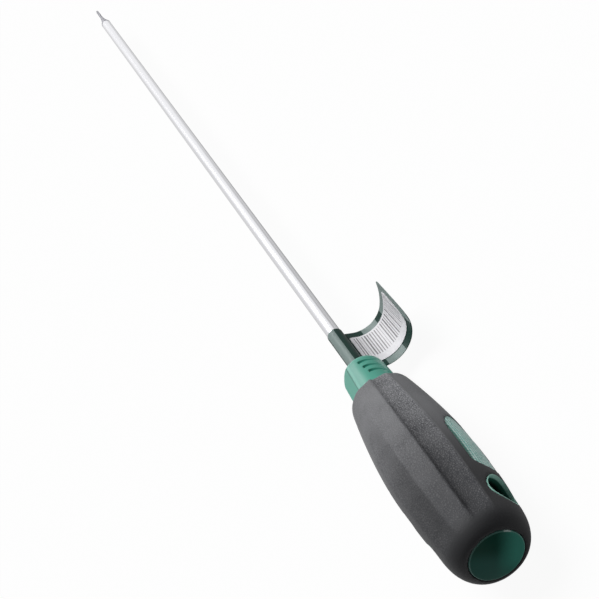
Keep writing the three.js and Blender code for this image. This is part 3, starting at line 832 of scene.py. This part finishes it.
def make_blade():
    """The rod, with a sharp shoulder, a hollow taper, a neck and a six-lobe tip."""
    lobe_x = BLADE_TIP_X - TIP_LOBE_LENGTH
    neck = TIP_ACROSS_POINTS / 2
    middle = (TIP_ACROSS_POINTS + TIP_ACROSS_VALLEYS) / 4
    swing = (TIP_ACROSS_POINTS - TIP_ACROSS_VALLEYS) / 4
    rings = [round_ring(BLADE_ROOT_X, BLADE_RADIUS), round_ring(TAPER_X, BLADE_RADIUS)]
    for share in shares(TAPER_STEPS):
        radius = part_way((1.0 - share) ** TAPER_POWER, neck, BLADE_RADIUS)
        rings.append(round_ring(TAPER_X + TAPER_LENGTH * share, radius))
    rings.append(round_ring(lobe_x - LOBES_INTO_NECK, neck))

    def lobes(share, shrink_by):
        def radius_at(angle):
            lobed = middle + swing * math.cos(math.radians(TIP_LOBES * angle))
            return part_way(share, neck, lobed) - shrink_by

        return radius_at

    for share in shares(LOBE_STEPS):
        rings.append((lobe_x - LOBES_INTO_NECK * (1.0 - share), lobes(blend_in(share, 0.0, 1.0), 0.0)))
    rings.append((BLADE_TIP_X - TIP_CHAMFER, lobes(1.0, 0.0)))
    rings.append((BLADE_TIP_X, lobes(1.0, TIP_CHAMFER)))
    blade = draw_rings("blade_rod", BLADE_SIDES, rings)
    shade(blade, BLADE_SHARP_ANGLE)
    bpy.ops.object.mode_set(mode="EDIT")
    pick_where(blade, lambda place: abs(place.x - TAPER_X) < TIP_CHAMFER)
    bpy.ops.mesh.mark_sharp()
    leave_editing()
    return blade


def make_end_cap():
    """The pressed-in cap: a low dome with a rounded edge, on a stem."""
    flat_radius = CAP_RADIUS - CAP_EDGE
    outline = [(CAP_STEM_END_X, CAP_STEM_RADIUS), (CAP_THICKNESS, CAP_STEM_RADIUS)]
    outline.append((CAP_THICKNESS, CAP_RADIUS))
    outline += arc(CAP_EDGE + CAP_DOME, flat_radius, CAP_EDGE, 90, CAP_EDGE_TURN, CAP_EDGE_STEPS)
    for share in shares(CAP_DOME_STEPS)[:-1]:
        outline.append((CAP_DOME * (1.0 - share) ** 2, flat_radius * (1.0 - share)))
    cap = draw_round("end_cap_disc", CAP_SIDES, outline)
    shade(cap, CAP_SHARP_ANGLE)
    return cap


# The flag label's forms

def tail_edge(bends):
    """The middle line of one edge of the tail in Y and Z: places, headings and lengths from the loop."""
    heading = math.radians(TAIL_START_HEADING)
    place = LOOP_MIDDLE * Vector((-math.cos(heading), math.sin(heading)))
    travelled = 0.0
    path = [(place.copy(), heading, travelled)]
    straight_leg = (TAIL_STRAIGHT / TAIL_STRAIGHT_STEPS, TAIL_START_HEADING, TAIL_START_HEADING)
    legs = [straight_leg] * TAIL_STRAIGHT_STEPS
    for (bend_radius, start, end), steps in zip(bends, TAIL_BEND_STEPS):
        turn = (end - start) / steps
        chord = 2 * bend_radius * math.sin(math.radians(turn / 2))
        legs += [(chord, start + turn * (step + 0.5), start + turn * (step + 1)) for step in range(steps)]
    for length, along, after in legs:
        place += length * Vector((-math.cos(math.radians(along)), math.sin(math.radians(along))))
        travelled += length
        path.append((place.copy(), math.radians(after), travelled))
    return path


def tail_line(x):
    """The tail's middle line at a place along X, between its rear edge and its front edge."""
    share = (x - LABEL_REAR_X) / (LABEL_FRONT_X - LABEL_REAR_X)
    rows = zip(tail_edge(TAIL_REAR_BENDS), tail_edge(TAIL_FRONT_BENDS))
    return [tuple(part_way(share, first, second) for first, second in zip(*row)) for row in rows]


def beside(place, heading, distance):
    """A place beside the tail's line, on its hollow side."""
    return place + distance * Vector((math.sin(heading), math.cos(heading)))


def film_line(x):
    """The film's line at a place along X: in along the tail's top, round the blade and out below."""
    lean = ROOT_FILLET + LAYER_OFFSET
    fillet_out = math.sqrt((LOOP_RADIUS + ROOT_FILLET) ** 2 - lean ** 2)
    tangent = math.degrees(math.atan2(lean, fillet_out))
    root_run = fillet_out - LOOP_MIDDLE
    heading = math.radians(TAIL_START_HEADING)
    outward = Vector((-math.cos(heading), math.sin(heading)))
    upward = Vector((math.sin(heading), math.cos(heading)))
    tail = [row for row in tail_line(x) if row[2] > root_run + PIECE_GAP]

    def layer(rows, offset):
        return [(beside(place, turn, offset), run) for place, turn, run in rows]

    def fillet(side, start, end, runs):
        """The rounding between the tail and the loop, above (1) or below (-1) the tail's middle."""
        points = []
        for share in (0.0, *shares(FILLET_STEPS)):
            turn = math.radians(part_way(share, start, end))
            along = fillet_out + ROOT_FILLET * math.cos(turn)
            aside = side * lean + ROOT_FILLET * math.sin(turn)
            points.append((along * outward + aside * upward, part_way(share, *runs)))
        return points

    line = layer(reversed(tail), LAYER_OFFSET)
    line += fillet(1, 270.0, 180.0 + tangent, (root_run, 0.0))
    loop_turn = 360.0 - 2 * tangent
    loop_steps = round(loop_turn / LOOP_STEP)
    for step in range(1, loop_steps):
        turned = loop_turn * step / loop_steps
        turn = math.radians(tangent + turned)
        back = min(turned, LOOP_SEEN * (loop_turn - turned) / (loop_turn - LOOP_SEEN))
        place = LOOP_RADIUS * (math.cos(turn) * outward + math.sin(turn) * upward)
        line.append((place, -LOOP_RADIUS * math.radians(back)))
    line += fillet(-1, 180.0 - tangent, 90.0, (0.0, root_run))
    return line + layer(tail, -LAYER_OFFSET)


def draw_strip(name, line_at, low_x, high_x, inset_at):
    """Draws an edge along X out along a line, sets its front end on the front line and notes its run."""
    rear_line = line_at(low_x)
    front_line = line_at(high_x)
    width = high_x - low_x
    first = rear_line[0][0]
    deselect()
    bpy.ops.mesh.primitive_plane_add(size=width, location=((low_x + high_x) / 2, 0.0, 0.0))
    piece = open_piece(name)
    pick_where(piece, lambda place: place.y > 0.0)
    bpy.ops.mesh.delete(type="VERT")
    pick_all()
    bpy.ops.transform.translate(value=(0.0, first.x + width / 2, first.y))
    for (place, _), (next_place, _) in zip(rear_line, rear_line[1:]):
        move = next_place - place
        draw_out((0.0, move.x, move.y))
    runs = []
    for number, ((rear, rear_run), (front, front_run)) in enumerate(zip(rear_line, front_line)):
        for index in (2 * number, 2 * number + 1):
            mesh = edited(piece)
            is_front = mesh.verts[index].co.x > (low_x + high_x) / 2
            run = front_run if is_front else rear_run
            inset = inset_at(run, is_front)
            share = 1.0 - inset / width if is_front else inset / width
            shift = (front - rear) * share
            move = (-inset if is_front else inset, shift.x, shift.y)
            runs.append(run)
            if max(map(abs, move)) > 0.0:
                pick(piece, [index])
                bpy.ops.transform.translate(value=move)
    leave_editing()
    numbers = piece.data.attributes.new("run", "FLOAT", "POINT")
    for number, run in zip(numbers.data, runs):
        number.value = run
    return piece


def corner_inset(distance, rounding):
    """How far a rounded corner draws a strip's side in, at a distance from the strip's end."""
    if distance >= rounding:
        return 0.0
    return rounding - math.sqrt(max(0.0, rounding ** 2 - (rounding - distance) ** 2))


def leaf_inset(distance, length, depth):
    """How far a leaf-shaped end draws a strip's side in, at a distance from the strip's end."""
    return depth * max(0.0, 1.0 - distance / length) ** 2


def make_label_film():
    ends = {True: tail_line(LABEL_FRONT_X)[-1][2], False: tail_line(LABEL_REAR_X)[-1][2]}

    def inset_at(run, is_front):
        to_end = ends[is_front] - run
        return corner_inset(to_end, TAIL_FRONT_CORNER) if is_front else leaf_inset(to_end, *TAIL_END_LEAF)

    film = draw_strip("label_wrap", film_line, LABEL_REAR_X, LABEL_FRONT_X, inset_at)
    apply_modifier(film, "SOLIDIFY", thickness=FILM_SHEET, offset=0.0)
    shade(film)
    return film


def make_sticker():
    """The paper sticker on the tail's hollow side, with rounded corners."""
    middle = tail_line((STICKER_REAR_X + STICKER_FRONT_X) / 2)
    end = middle[-1][2] - STICKER_END_BORDER
    covered = [number for number, row in enumerate(middle) if STICKER_START <= row[2] <= end]

    def line_at(x):
        rows = tail_line(x)
        return [(beside(*rows[number][:2], STICKER_LIFT), rows[number][2]) for number in covered]

    ends = {True: line_at(STICKER_FRONT_X)[-1][1], False: line_at(STICKER_REAR_X)[-1][1]}

    def inset_at(run, is_front):
        to_end = ends[is_front] - run
        rounding = corner_inset(min(run - STICKER_START, to_end), STICKER_CORNER)
        return rounding if is_front else max(rounding, leaf_inset(to_end, *STICKER_END_LEAF))

    sticker = draw_strip("barcode_paper", line_at, STICKER_REAR_X, STICKER_FRONT_X, inset_at)
    apply_modifier(sticker, "SOLIDIFY", thickness=STICKER_PAPER, offset=0.0)
    shade(sticker)
    return sticker


# Finishes

class Value:
    """A shader socket that takes part in Python expressions."""

    def __init__(self, socket):
        self.socket = socket
        self.tree = socket.id_data

    def node(self, kind, settings=None, inputs=None, output=0):
        """Adds a node with its settings and its sockets' values or links, and gives one of its outputs."""
        return add_node(self.tree, kind, settings, inputs, output)

    def math(self, operation, *others):
        return self.node("Math", {"operation": operation}, dict(enumerate((self, *others))))

    def __add__(self, other):
        return self.math("ADD", other)

    def __sub__(self, other):
        return self.math("SUBTRACT", other)

    def __rsub__(self, other):
        return self.node("Math", {"operation": "SUBTRACT"}, {0: other, 1: self})

    def __mul__(self, other):
        return self.math("MULTIPLY", other)

    def __truediv__(self, other):
        return self.math("DIVIDE", other)

    __radd__ = __add__
    __rmul__ = __mul__

    def step_up(self, low, high):
        """A smooth step from 0 at low to 1 at high."""
        settings = {"interpolation_type": "SMOOTHSTEP"}
        return self.node("MapRange", settings, {"Value": self, "From Min": low, "From Max": high})

    def parts(self):
        """A vector's X, Y and Z."""
        return [self.node("SeparateXYZ", None, {0: self}, axis) for axis in range(3)]

    def band(self, rise, full, fall, end):
        """1 from full to fall, with smooth steps up from rise and down to end."""
        return self.step_up(rise, full) * (1.0 - self.step_up(fall, end))


def add_node(tree, kind, settings=None, inputs=None, output=0):
    made = tree.nodes.new("ShaderNode" + kind)
    for name, setting in (settings or {}).items():
        if name == "stops":
            ramp = made.color_ramp
            while len(ramp.elements) < len(setting):
                ramp.elements.new(1.0)
            for element, (position, colour) in zip(ramp.elements, setting):
                element.position = position
                element.color = (*colour, 1.0)
        elif name == "ramp_kind":
            made.color_ramp.interpolation = setting
        else:
            setattr(made, name, setting)
    for name, value in (inputs or {}).items():
        if isinstance(value, Value):
            tree.links.new(value.socket, made.inputs[name])
        else:
            made.inputs[name].default_value = value
    return Value(made.outputs[output]) if made.outputs else None


def mix_colours(share, first, second):
    """A colour between two, by a share from 0 to 1."""
    inputs = {0: share}
    for number, colour in ((6, first), (7, second)):
        inputs[number] = colour if isinstance(colour, Value) else (*colour, 1.0)
    return share.node("Mix", {"data_type": "RGBA"}, inputs, output=2)


class Finish:
    """A material with its Principled shader, its Object coordinates and their three parts in mm."""

    def __init__(self, name, **constants):
        self.material = bpy.data.materials.new(name)
        self.material.use_nodes = True
        self.tree = self.material.node_tree
        self.shader = next(node for node in self.tree.nodes if node.type == "BSDF_PRINCIPLED")
        for socket, value in constants.items():
            self.shader.inputs[socket.replace("_", " ")].default_value = value
        self.place = add_node(self.tree, "TexCoord", output="Object")
        self.x, self.y, self.z = (part * (1.0 / MM) for part in self.place.parts())

    def feed(self, **sockets):
        """Links what varies to the shader."""
        for name, value in sockets.items():
            self.tree.links.new(value.socket, self.shader.inputs[name.replace("_", " ")])
        return self.material

    def noise(self, scale, detail=2.0, stretch=(1.0, 1.0, 1.0), output=0):
        """Noise with so many cells in a mm, stretched along the axes."""
        scales = [scale / MM * share for share in stretch]
        vector = add_node(self.tree, "VectorMath", {"operation": "MULTIPLY"}, {0: self.place, 1: scales})
        inputs = {"Vector": vector, "Scale": 1.0, "Detail": detail}
        return add_node(self.tree, "TexNoise", None, inputs, output)

    def bump(self, height, distance, strength):
        inputs = {"Height": height, "Distance": distance * MM, "Strength": strength}
        return height.node("Bump", None, inputs)

    def attribute(self, name):
        """A number that is noted on the piece's vertices."""
        return add_node(self.tree, "Attribute", {"attribute_name": name}, None, "Fac")

    def off_axis(self):
        """The distance from the blade's line, in mm."""
        return (self.y * self.y + self.z * self.z).math("SQRT")

    def out(self, direction):
        """How far the place lies from the blade's line along a direction in Y and Z, in mm."""
        return self.y * direction[0] + self.z * direction[1]


def grip_rubber():
    """Soft rubber with a leather grain of dark creases, with painted light making it paler to the front
    and painted shade darkening the rear.
    """
    finish = Finish("grip_rubber", Specular_IOR_Level=0.25)
    tone = finish.attribute("tone")
    grained = finish.attribute("grain")
    wobble = finish.noise(0.7, 2.0, output="Color")
    inputs = {0: wobble, 1: [GRAIN_BEND * MM] * 3, 2: finish.place}
    bent = wobble.node("VectorMath", {"operation": "MULTIPLY_ADD"}, inputs)
    inputs = {"Vector": bent, "Scale": GRAIN_CELLS / MM, "Randomness": 1.0}
    cells = bent.node("TexVoronoi", {"feature": "DISTANCE_TO_EDGE"}, inputs)
    grain = cells.step_up(0.0, 0.4)
    fine = finish.noise(3.2, 2.0)
    patches = finish.noise(0.12, 3.0)
    # Painted shade: the rear end, facing away from the light, is darkened towards black; the smooth rubber
    # there is also a little darker
    rear = 1.0 - finish.x.step_up(*REAR_PAINTED_SHADE_SPAN)
    # Painted light: the rubber is paler towards the front and darker towards the rear
    to_front = finish.x.step_up(*FRONT_PAINTED_LIGHT_SPAN)
    even = mix_colours(to_front, (0.078, 0.079, 0.084), (0.205, 0.207, 0.217))
    creased = (grain - 0.62) * grained * 0.65
    light = creased + (fine - 0.5) * (0.3 + grained * 0.35) + (patches - 0.5) * 0.5
    paler = mix_colours(light.step_up(0.0, 1.25), even, (0.40, 0.40, 0.42))
    darker = mix_colours((0.0 - light).step_up(0.0, 0.7), paler, (0.018, 0.019, 0.024))
    # Scales the colour by the painted shade and highlight noted on the grip
    painted_shaded = tone.node("VectorMath", {"operation": "SCALE"}, {0: darker, "Scale": tone})
    return finish.feed(
        Base_Color=mix_colours(rear * 0.88, painted_shaded, (0.012, 0.0125, 0.0145)),
        Roughness=0.56 + (fine - 0.5) * 0.2 + grained * 0.1,
        Normal=finish.bump(grain * grained + fine * 0.3, 0.09, 0.8),
    )


def hard_green():
    """Mint plastic, with painted shade in the finger grooves and on each thumb flat, and a painted shadow
    line and a painted glint along each flat.
    """
    finish = Finish("hard_green", Specular_IOR_Level=0.25, Coat_Roughness=0.2)
    cloud = finish.noise(0.25, 3.0)
    fine = finish.noise(3.0, 2.0)
    surface = collar_radius(finish.x * MM) / MM
    to_grooves = finish.out(around(GROOVE_MIDDLE_ANGLE, 1.0)).math("ABSOLUTE")
    # Painted shade in the finger grooves, deepest where they are cut deepest
    groove_painted_shade = (surface - finish.off_axis()).step_up(*GROOVE_PAINTED_SHADE_SPAN) * to_grooves.step_up(*GROOVE_SIDE_SPAN)
    on_nose = finish.x.step_up(COLLAR_NOSE_X / MM, HANDLE_FRONT_X / MM - NOSE_PLAIN)
    pale = mix_colours(cloud, (0.165, 0.44, 0.36), (0.195, 0.49, 0.405))
    even = mix_colours(to_grooves.step_up(*GROOVE_TINT_SPAN) * 0.75, pale, (0.05, 0.39, 0.28))
    flat_y, flat_z = around(FLAT_CENTRE_ANGLE, 1.0)
    out = finish.out((flat_y, flat_z))
    across = finish.out((-flat_z, flat_y)) * out.math("SIGN")
    half_width = FLAT_HALF_WIDTH / MM
    far_out = out.math("ABSOLUTE").step_up(*FLAT_OUT_SPAN)
    # On each thumb flat: painted shade that deepens the green, a painted shadow line inside its edge and a
    # painted glint beside it
    flat = (1.0 - (across.math("ABSOLUTE") - half_width).step_up(*FLAT_EDGE_SPAN)) * far_out
    shadow = (across - half_width).band(*FLAT_SHADOW_BAND) * far_out
    glint = (across - half_width).band(*FLAT_GLINT_BAND) * far_out
    deeper = mix_colours(flat * 0.8, even, (0.08, 0.42, 0.315))
    flat_painted_shadow = mix_colours(shadow * 0.75, deeper, (0.02, 0.20, 0.145))
    lit = mix_colours(glint * 0.5, flat_painted_shadow, (0.36, 0.72, 0.62))
    return finish.feed(
        Base_Color=mix_colours(groove_painted_shade * (1.0 - on_nose), lit, (0.035, 0.36, 0.265)),
        Roughness=0.3 + (fine - 0.5) * 0.08,
        Coat_Weight=0.08 + (cloud - 0.5) * 0.05,
        Normal=finish.bump(fine, 0.006, 0.4),
    )


def window_green():
    """The hard green with a fine emboss, as on the pads under the grip's windows, with painted glints on
    the emboss and a painted shadow along the pads' edges.
    """
    finish = Finish("window_green", Specular_IOR_Level=0.2)
    first = ((finish.x + finish.z) * PAD_DIAMONDS).math("SINE")
    second = ((finish.x - finish.z) * PAD_DIAMONDS).math("SINE")
    diamonds = (first * second).step_up(-0.4, 0.5)
    cloud = finish.noise(1.3, 3.0)
    # Painted shadow: the green darkens along the pad's long edges, where the grip's lip shades it
    edge = (finish.z.math("ABSOLUTE") - WINDOW_HALF / MM).step_up(*PAD_EDGE_SHADOW_SPAN)
    # Painted glints: near-white specks on the emboss
    painted_glints = (diamonds * 0.4 + cloud * 1.1).step_up(0.58, 0.95)
    colour = mix_colours(painted_glints, (0.19, 0.57, 0.49), (0.80, 0.99, 0.95))
    return finish.feed(
        Base_Color=mix_colours(edge * 0.85, colour, (0.02, 0.13, 0.095)),
        Roughness=0.2 + diamonds * 0.15,
        Normal=finish.bump(diamonds + cloud, 0.12, 0.9),
    )


def lining_green():
    """The hard green of the hang hole's lining, pale at its lip, the pale reaching deeper on the front
    wall as painted light, with painted shade darkening it inside.
    """
    finish = Finish("lining_green", Specular_IOR_Level=0.4)
    depth = finish.attribute("depth") * (1.0 / MM)
    cloud = finish.noise(0.3, 3.0)
    lip = mix_colours(cloud, (0.30, 0.62, 0.52), (0.38, 0.72, 0.62))
    # Painted light and shade: the lip pale, the pale reaching deeper on the front wall, then dark green
    # and near black inside
    to_front = (finish.x - HOLE_X / MM).step_up(*LIP_LIT_FRONT_SPAN)
    past_lit_lip = (depth - to_front * LIP_LIT_FRONT_DEPTH).step_up(*LIP_PAINTED_SHADE_SPAN)
    wall = mix_colours(past_lit_lip, lip, (0.012, 0.10, 0.07))
    return finish.feed(
        Base_Color=mix_colours(depth.step_up(*HOLE_PAINTED_SHADE_SPAN), wall, (0.001, 0.010, 0.007)),
        Roughness=0.3 + (cloud - 0.5) * 0.1,
        Normal=finish.bump(cloud, 0.02, 0.4),
    )


def blade_chrome():
    """Bright plate with faint drawn streaks, dull and dark from the taper to the tip."""
    finish = Finish("blade_chrome", Specular_IOR_Level=0.5)
    streaks = finish.noise(4.0, 3.0, (0.005, 1.0, 1.0))
    spots = finish.noise(0.9, 3.0)
    tip = (finish.x - TAPER_X / MM).step_up(*TIP_FINISH_SPAN)
    bright = mix_colours(streaks, (0.82, 0.825, 0.855), (0.90, 0.90, 0.925))
    dark = mix_colours(spots, (0.34, 0.34, 0.375), (0.42, 0.42, 0.455))
    return finish.feed(
        Base_Color=mix_colours(tip, bright, dark),
        Metallic=1.0 - tip * 0.9,
        Roughness=0.12 + streaks * 0.08 + tip * 0.4,
        Normal=finish.bump(streaks, 0.003, 0.25),
    )


def cap_green():
    """Dark glossy plastic, with painted light making one side of the disc paler, painted shade on the
    other, a painted highlight round its edge with a painted glint on it, and a shiny edge.
    """
    finish = Finish("cap_green", Specular_IOR_Level=0.06, Coat_Roughness=0.1)
    cloud = finish.noise(0.2, 3.0)
    fine = finish.noise(4.0, 2.0)
    rim = (finish.off_axis() - CAP_RADIUS / MM).step_up(*CAP_RIM_SPAN)
    to_light = finish.out(CAP_LIGHT_SIDE) + (cloud - 0.5) * 2.0
    to_low = finish.out(CAP_LOW_SIDE)
    # Painted light and shade across the disc: darkest at one side, paler towards the lit side
    deep = mix_colours(to_low.step_up(*CAP_PAINTED_SHADE_SPAN), (0.001, 0.036, 0.023), (0.012, 0.072, 0.057))
    lit = to_light.step_up(*CAP_LIGHT_SPAN) * (1.0 - to_low.step_up(*CAP_LOW_SPAN) * 0.8)
    colour = mix_colours(lit, deep, (0.034, 0.195, 0.150))
    # Painted highlight: a paler line round the rim, with a painted glint on it
    rim_painted_light = mix_colours(rim * 0.6, colour, (0.10, 0.25, 0.215))
    glint = rim * (1.0 - to_low.step_up(*CAP_GLINT_LOW_SPAN)) * to_light.band(*CAP_GLINT_BAND)
    return finish.feed(
        Base_Color=mix_colours(glint * 0.8, rim_painted_light, (0.55, 0.66, 0.64)),
        Roughness=0.2 + (fine - 0.5) * 0.06,
        Coat_Weight=rim * 0.5,
        Normal=finish.bump(fine, 0.006, 0.3),
    )


def core_plastic():
    finish = Finish("core_plastic", Specular_IOR_Level=0.4)
    cloud = finish.noise(0.3, 3.0)
    return finish.feed(
        Base_Color=mix_colours(cloud, (0.020, 0.036, 0.034), (0.032, 0.052, 0.049)),
        Roughness=0.5 + (cloud - 0.5) * 0.2,
    )


def film_print():
    """Glossy film, printed in plain bands of two greens, with one layout along each edge."""
    finish = Finish("film_print", Specular_IOR_Level=0.12, Coat_Roughness=0.06)
    run = finish.attribute("run") * (1.0 / MM)
    share = (run - BAND_START) / (BAND_END - BAND_START)
    bands = []
    for places in (REAR_BANDS, FRONT_BANDS):
        stops = []
        for number, place in enumerate((BAND_START, *LOOP_BANDS, *places)):
            stops.append(((place - BAND_START) / (BAND_END - BAND_START), FILM_GREENS[number % 2]))
        bands.append(share.node("ValToRGB", {"ramp_kind": "CONSTANT", "stops": stops}, {0: share}))
    to_front = finish.x.math("GREATER_THAN", (LABEL_REAR_X + LABEL_FRONT_X) / 2 / MM)
    cloud = finish.noise(0.3, 3.0)
    wrinkles = finish.noise(0.22, 2.0)
    colour = mix_colours(cloud * 0.06, mix_colours(to_front, *bands), (0.12, 0.19, 0.175))
    return finish.feed(
        Base_Color=colour,
        Roughness=0.38 + (cloud - 0.5) * 0.1,
        Coat_Weight=0.02 + (cloud - 0.5) * 0.02,
        Normal=finish.bump(wrinkles, 0.15, 0.2),
    )


def label_paper():
    """White paper with a row of plain bars of random widths."""
    finish = Finish("label_paper", Specular_IOR_Level=0.3)
    run = finish.attribute("run") * (1.0 / MM)
    step = run / BAR_PITCH
    number = step.math("FLOOR")
    chance = number.node("TexWhiteNoise", {"noise_dimensions": "1D"}, {"W": number})
    width = part_way(chance, *BAR_WIDTHS)
    low = STICKER_REAR_X / MM + BAR_REAR_MARGIN
    high = STICKER_FRONT_X / MM - BAR_FRONT_MARGIN
    along = finish.x.math("GREATER_THAN", low) * finish.x.math("LESS_THAN", high)
    within = run.math("GREATER_THAN", BARS_START) * run.math("LESS_THAN", BARS_END)
    ink = (step - number).math("LESS_THAN", width) * along * within
    fibres = finish.noise(3.0, 4.0)
    paper = mix_colours(fibres, (0.87, 0.855, 0.89), (0.94, 0.925, 0.955))
    return finish.feed(
        Base_Color=mix_colours(ink * (0.45 + chance * 0.4), paper, (0.07, 0.065, 0.075)),
        Roughness=0.55 + (fibres - 0.5) * 0.2 - ink * 0.1,
        Normal=finish.bump(fibres, 0.015, 0.4),
    )


# Stage, light and camera

def by_path(tree, seen, mirrored, bounced):
    """A strength for rays from the camera, one for mirrored rays and one for all others."""
    camera, glossy, clear = (add_node(tree, "LightPath", None, None, name) for name in PATH_KINDS)
    mirror = glossy + clear
    return camera * seen + mirror * mirrored + (1.0 - camera - mirror) * bounced


def make_stage():
    deselect()
    bpy.ops.mesh.primitive_plane_add(size=FLOOR_SIZE, location=(FLOOR_MIDDLE_X, 0.0, cad_low[2]))
    floor = open_piece("floor")
    bpy.ops.mesh.subdivide(number_cuts=FLOOR_CUTS)
    leave_editing()
    material = bpy.data.materials.new("pale_floor")
    material.use_nodes = True
    tree = material.node_tree
    tree.nodes.clear()
    place = add_node(tree, "TexCoord", None, None, "Object")
    ahead, left = (part * (1.0 / MM) for part in place.parts()[:2])
    far = ahead.step_up(*MIRRORED_FAR_SPAN)
    outward = (0.0 - left).step_up(*MIRRORED_OUTER_SPAN)
    right_side = part_way(outward, part_way(far, *MIRRORED_RIGHT), part_way(far, *MIRRORED_OUTER))
    mirrored = part_way(left.step_up(*MIRRORED_LEFT_SPAN), right_side, MIRRORED_LEFT)
    strength = by_path(tree, FLOOR_GLOW, mirrored, FLOOR_BOUNCE)
    glow = add_node(tree, "Emission", None, {"Color": (1.0, 1.0, 1.0, 1.0), "Strength": strength})
    matt = add_node(tree, "BsdfDiffuse", None, {"Color": (FLOOR_GREY, FLOOR_GREY, FLOOR_GREY, 1.0)})
    both = add_node(tree, "AddShader", None, {0: glow, 1: matt})
    add_node(tree, "OutputMaterial", None, {"Surface": both})
    floor.data.materials.append(material)


def make_light():
    world = bpy.data.worlds.new("studio")
    bpy.context.scene.world = world
    world.use_nodes = True
    tree = world.node_tree
    tree.nodes.clear()
    direction = add_node(tree, "TexCoord", None, None, "Generated")
    ahead, left, up = direction.parts()
    brightness = SKY_TOP
    for side, across_span, up_span, depth in SKY_DIMMED:
        low = (left * side).step_up(*across_span) * (1.0 - up.step_up(*up_span))
        brightness = brightness - low * depth
    slope = ahead * SKY_SLOPE[0] + left * SKY_SLOPE[1] + up * SKY_SLOPE[2]
    strength = by_path(tree, 1.0, slope.step_up(*SKY_SPAN) * brightness + SKY_BASE, AMBIENT)
    back = add_node(tree, "Background", None, {"Color": (1.0, 1.0, 1.0, 1.0), "Strength": strength})
    add_node(tree, "OutputWorld", None, {"Surface": back})
    deselect()
    bpy.ops.object.light_add(type="SUN", location=SUN_FROM)
    sun = bpy.context.object
    sun.name = "soft_sun"
    sun.rotation_euler = SUN_FROM.to_track_quat("Z", "Y").to_euler()
    sun.data.energy = SUN_STRENGTH
    sun.data.angle = SUN_SOFTNESS


def make_camera():
    deselect()
    bpy.ops.object.camera_add(location=CAMERA_EYE)
    camera = bpy.context.object
    camera.name = "photo_camera"
    view = (CAMERA_TARGET - CAMERA_EYE).to_track_quat("-Z", "Y")
    camera.rotation_euler = (view @ Quaternion((0.0, 0.0, 1.0), -CAMERA_ROLL)).to_euler()
    camera.data.lens = CAMERA_LENS
    camera.data.sensor_width = CAMERA_SENSOR
    camera.data.clip_start = CAMERA_NEAR
    bpy.context.scene.camera = camera


# The dressed screwdriver

def dress(piece, finish, body, node):
    piece.data.materials.clear()
    piece.data.materials.append(finish)
    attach(piece, body)
    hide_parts(node)


bpy.context.scene.view_settings.view_transform = "Standard"
make_camera()
make_stage()
make_light()

grip_sleeve, window_pads, hole_lining = make_handle()
dress(grip_sleeve, grip_rubber(), "driver", "soft_grip")
dress(make_collar(), hard_green(), "driver", "handle_body")
dress(window_pads, window_green(), "driver", "handle_body")
dress(hole_lining, lining_green(), "driver", "handle_body")
dress(make_blade(), blade_chrome(), "driver", "blade")
dress(make_end_cap(), cap_green(), "driver", "end_cap")
dress(make_label_film(), film_print(), "label", "label_film")
dress(make_sticker(), label_paper(), "label", "barcode_sticker")

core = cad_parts["inner_core"]
core.data.materials.clear()
core.data.materials.append(core_plastic())

deselect()
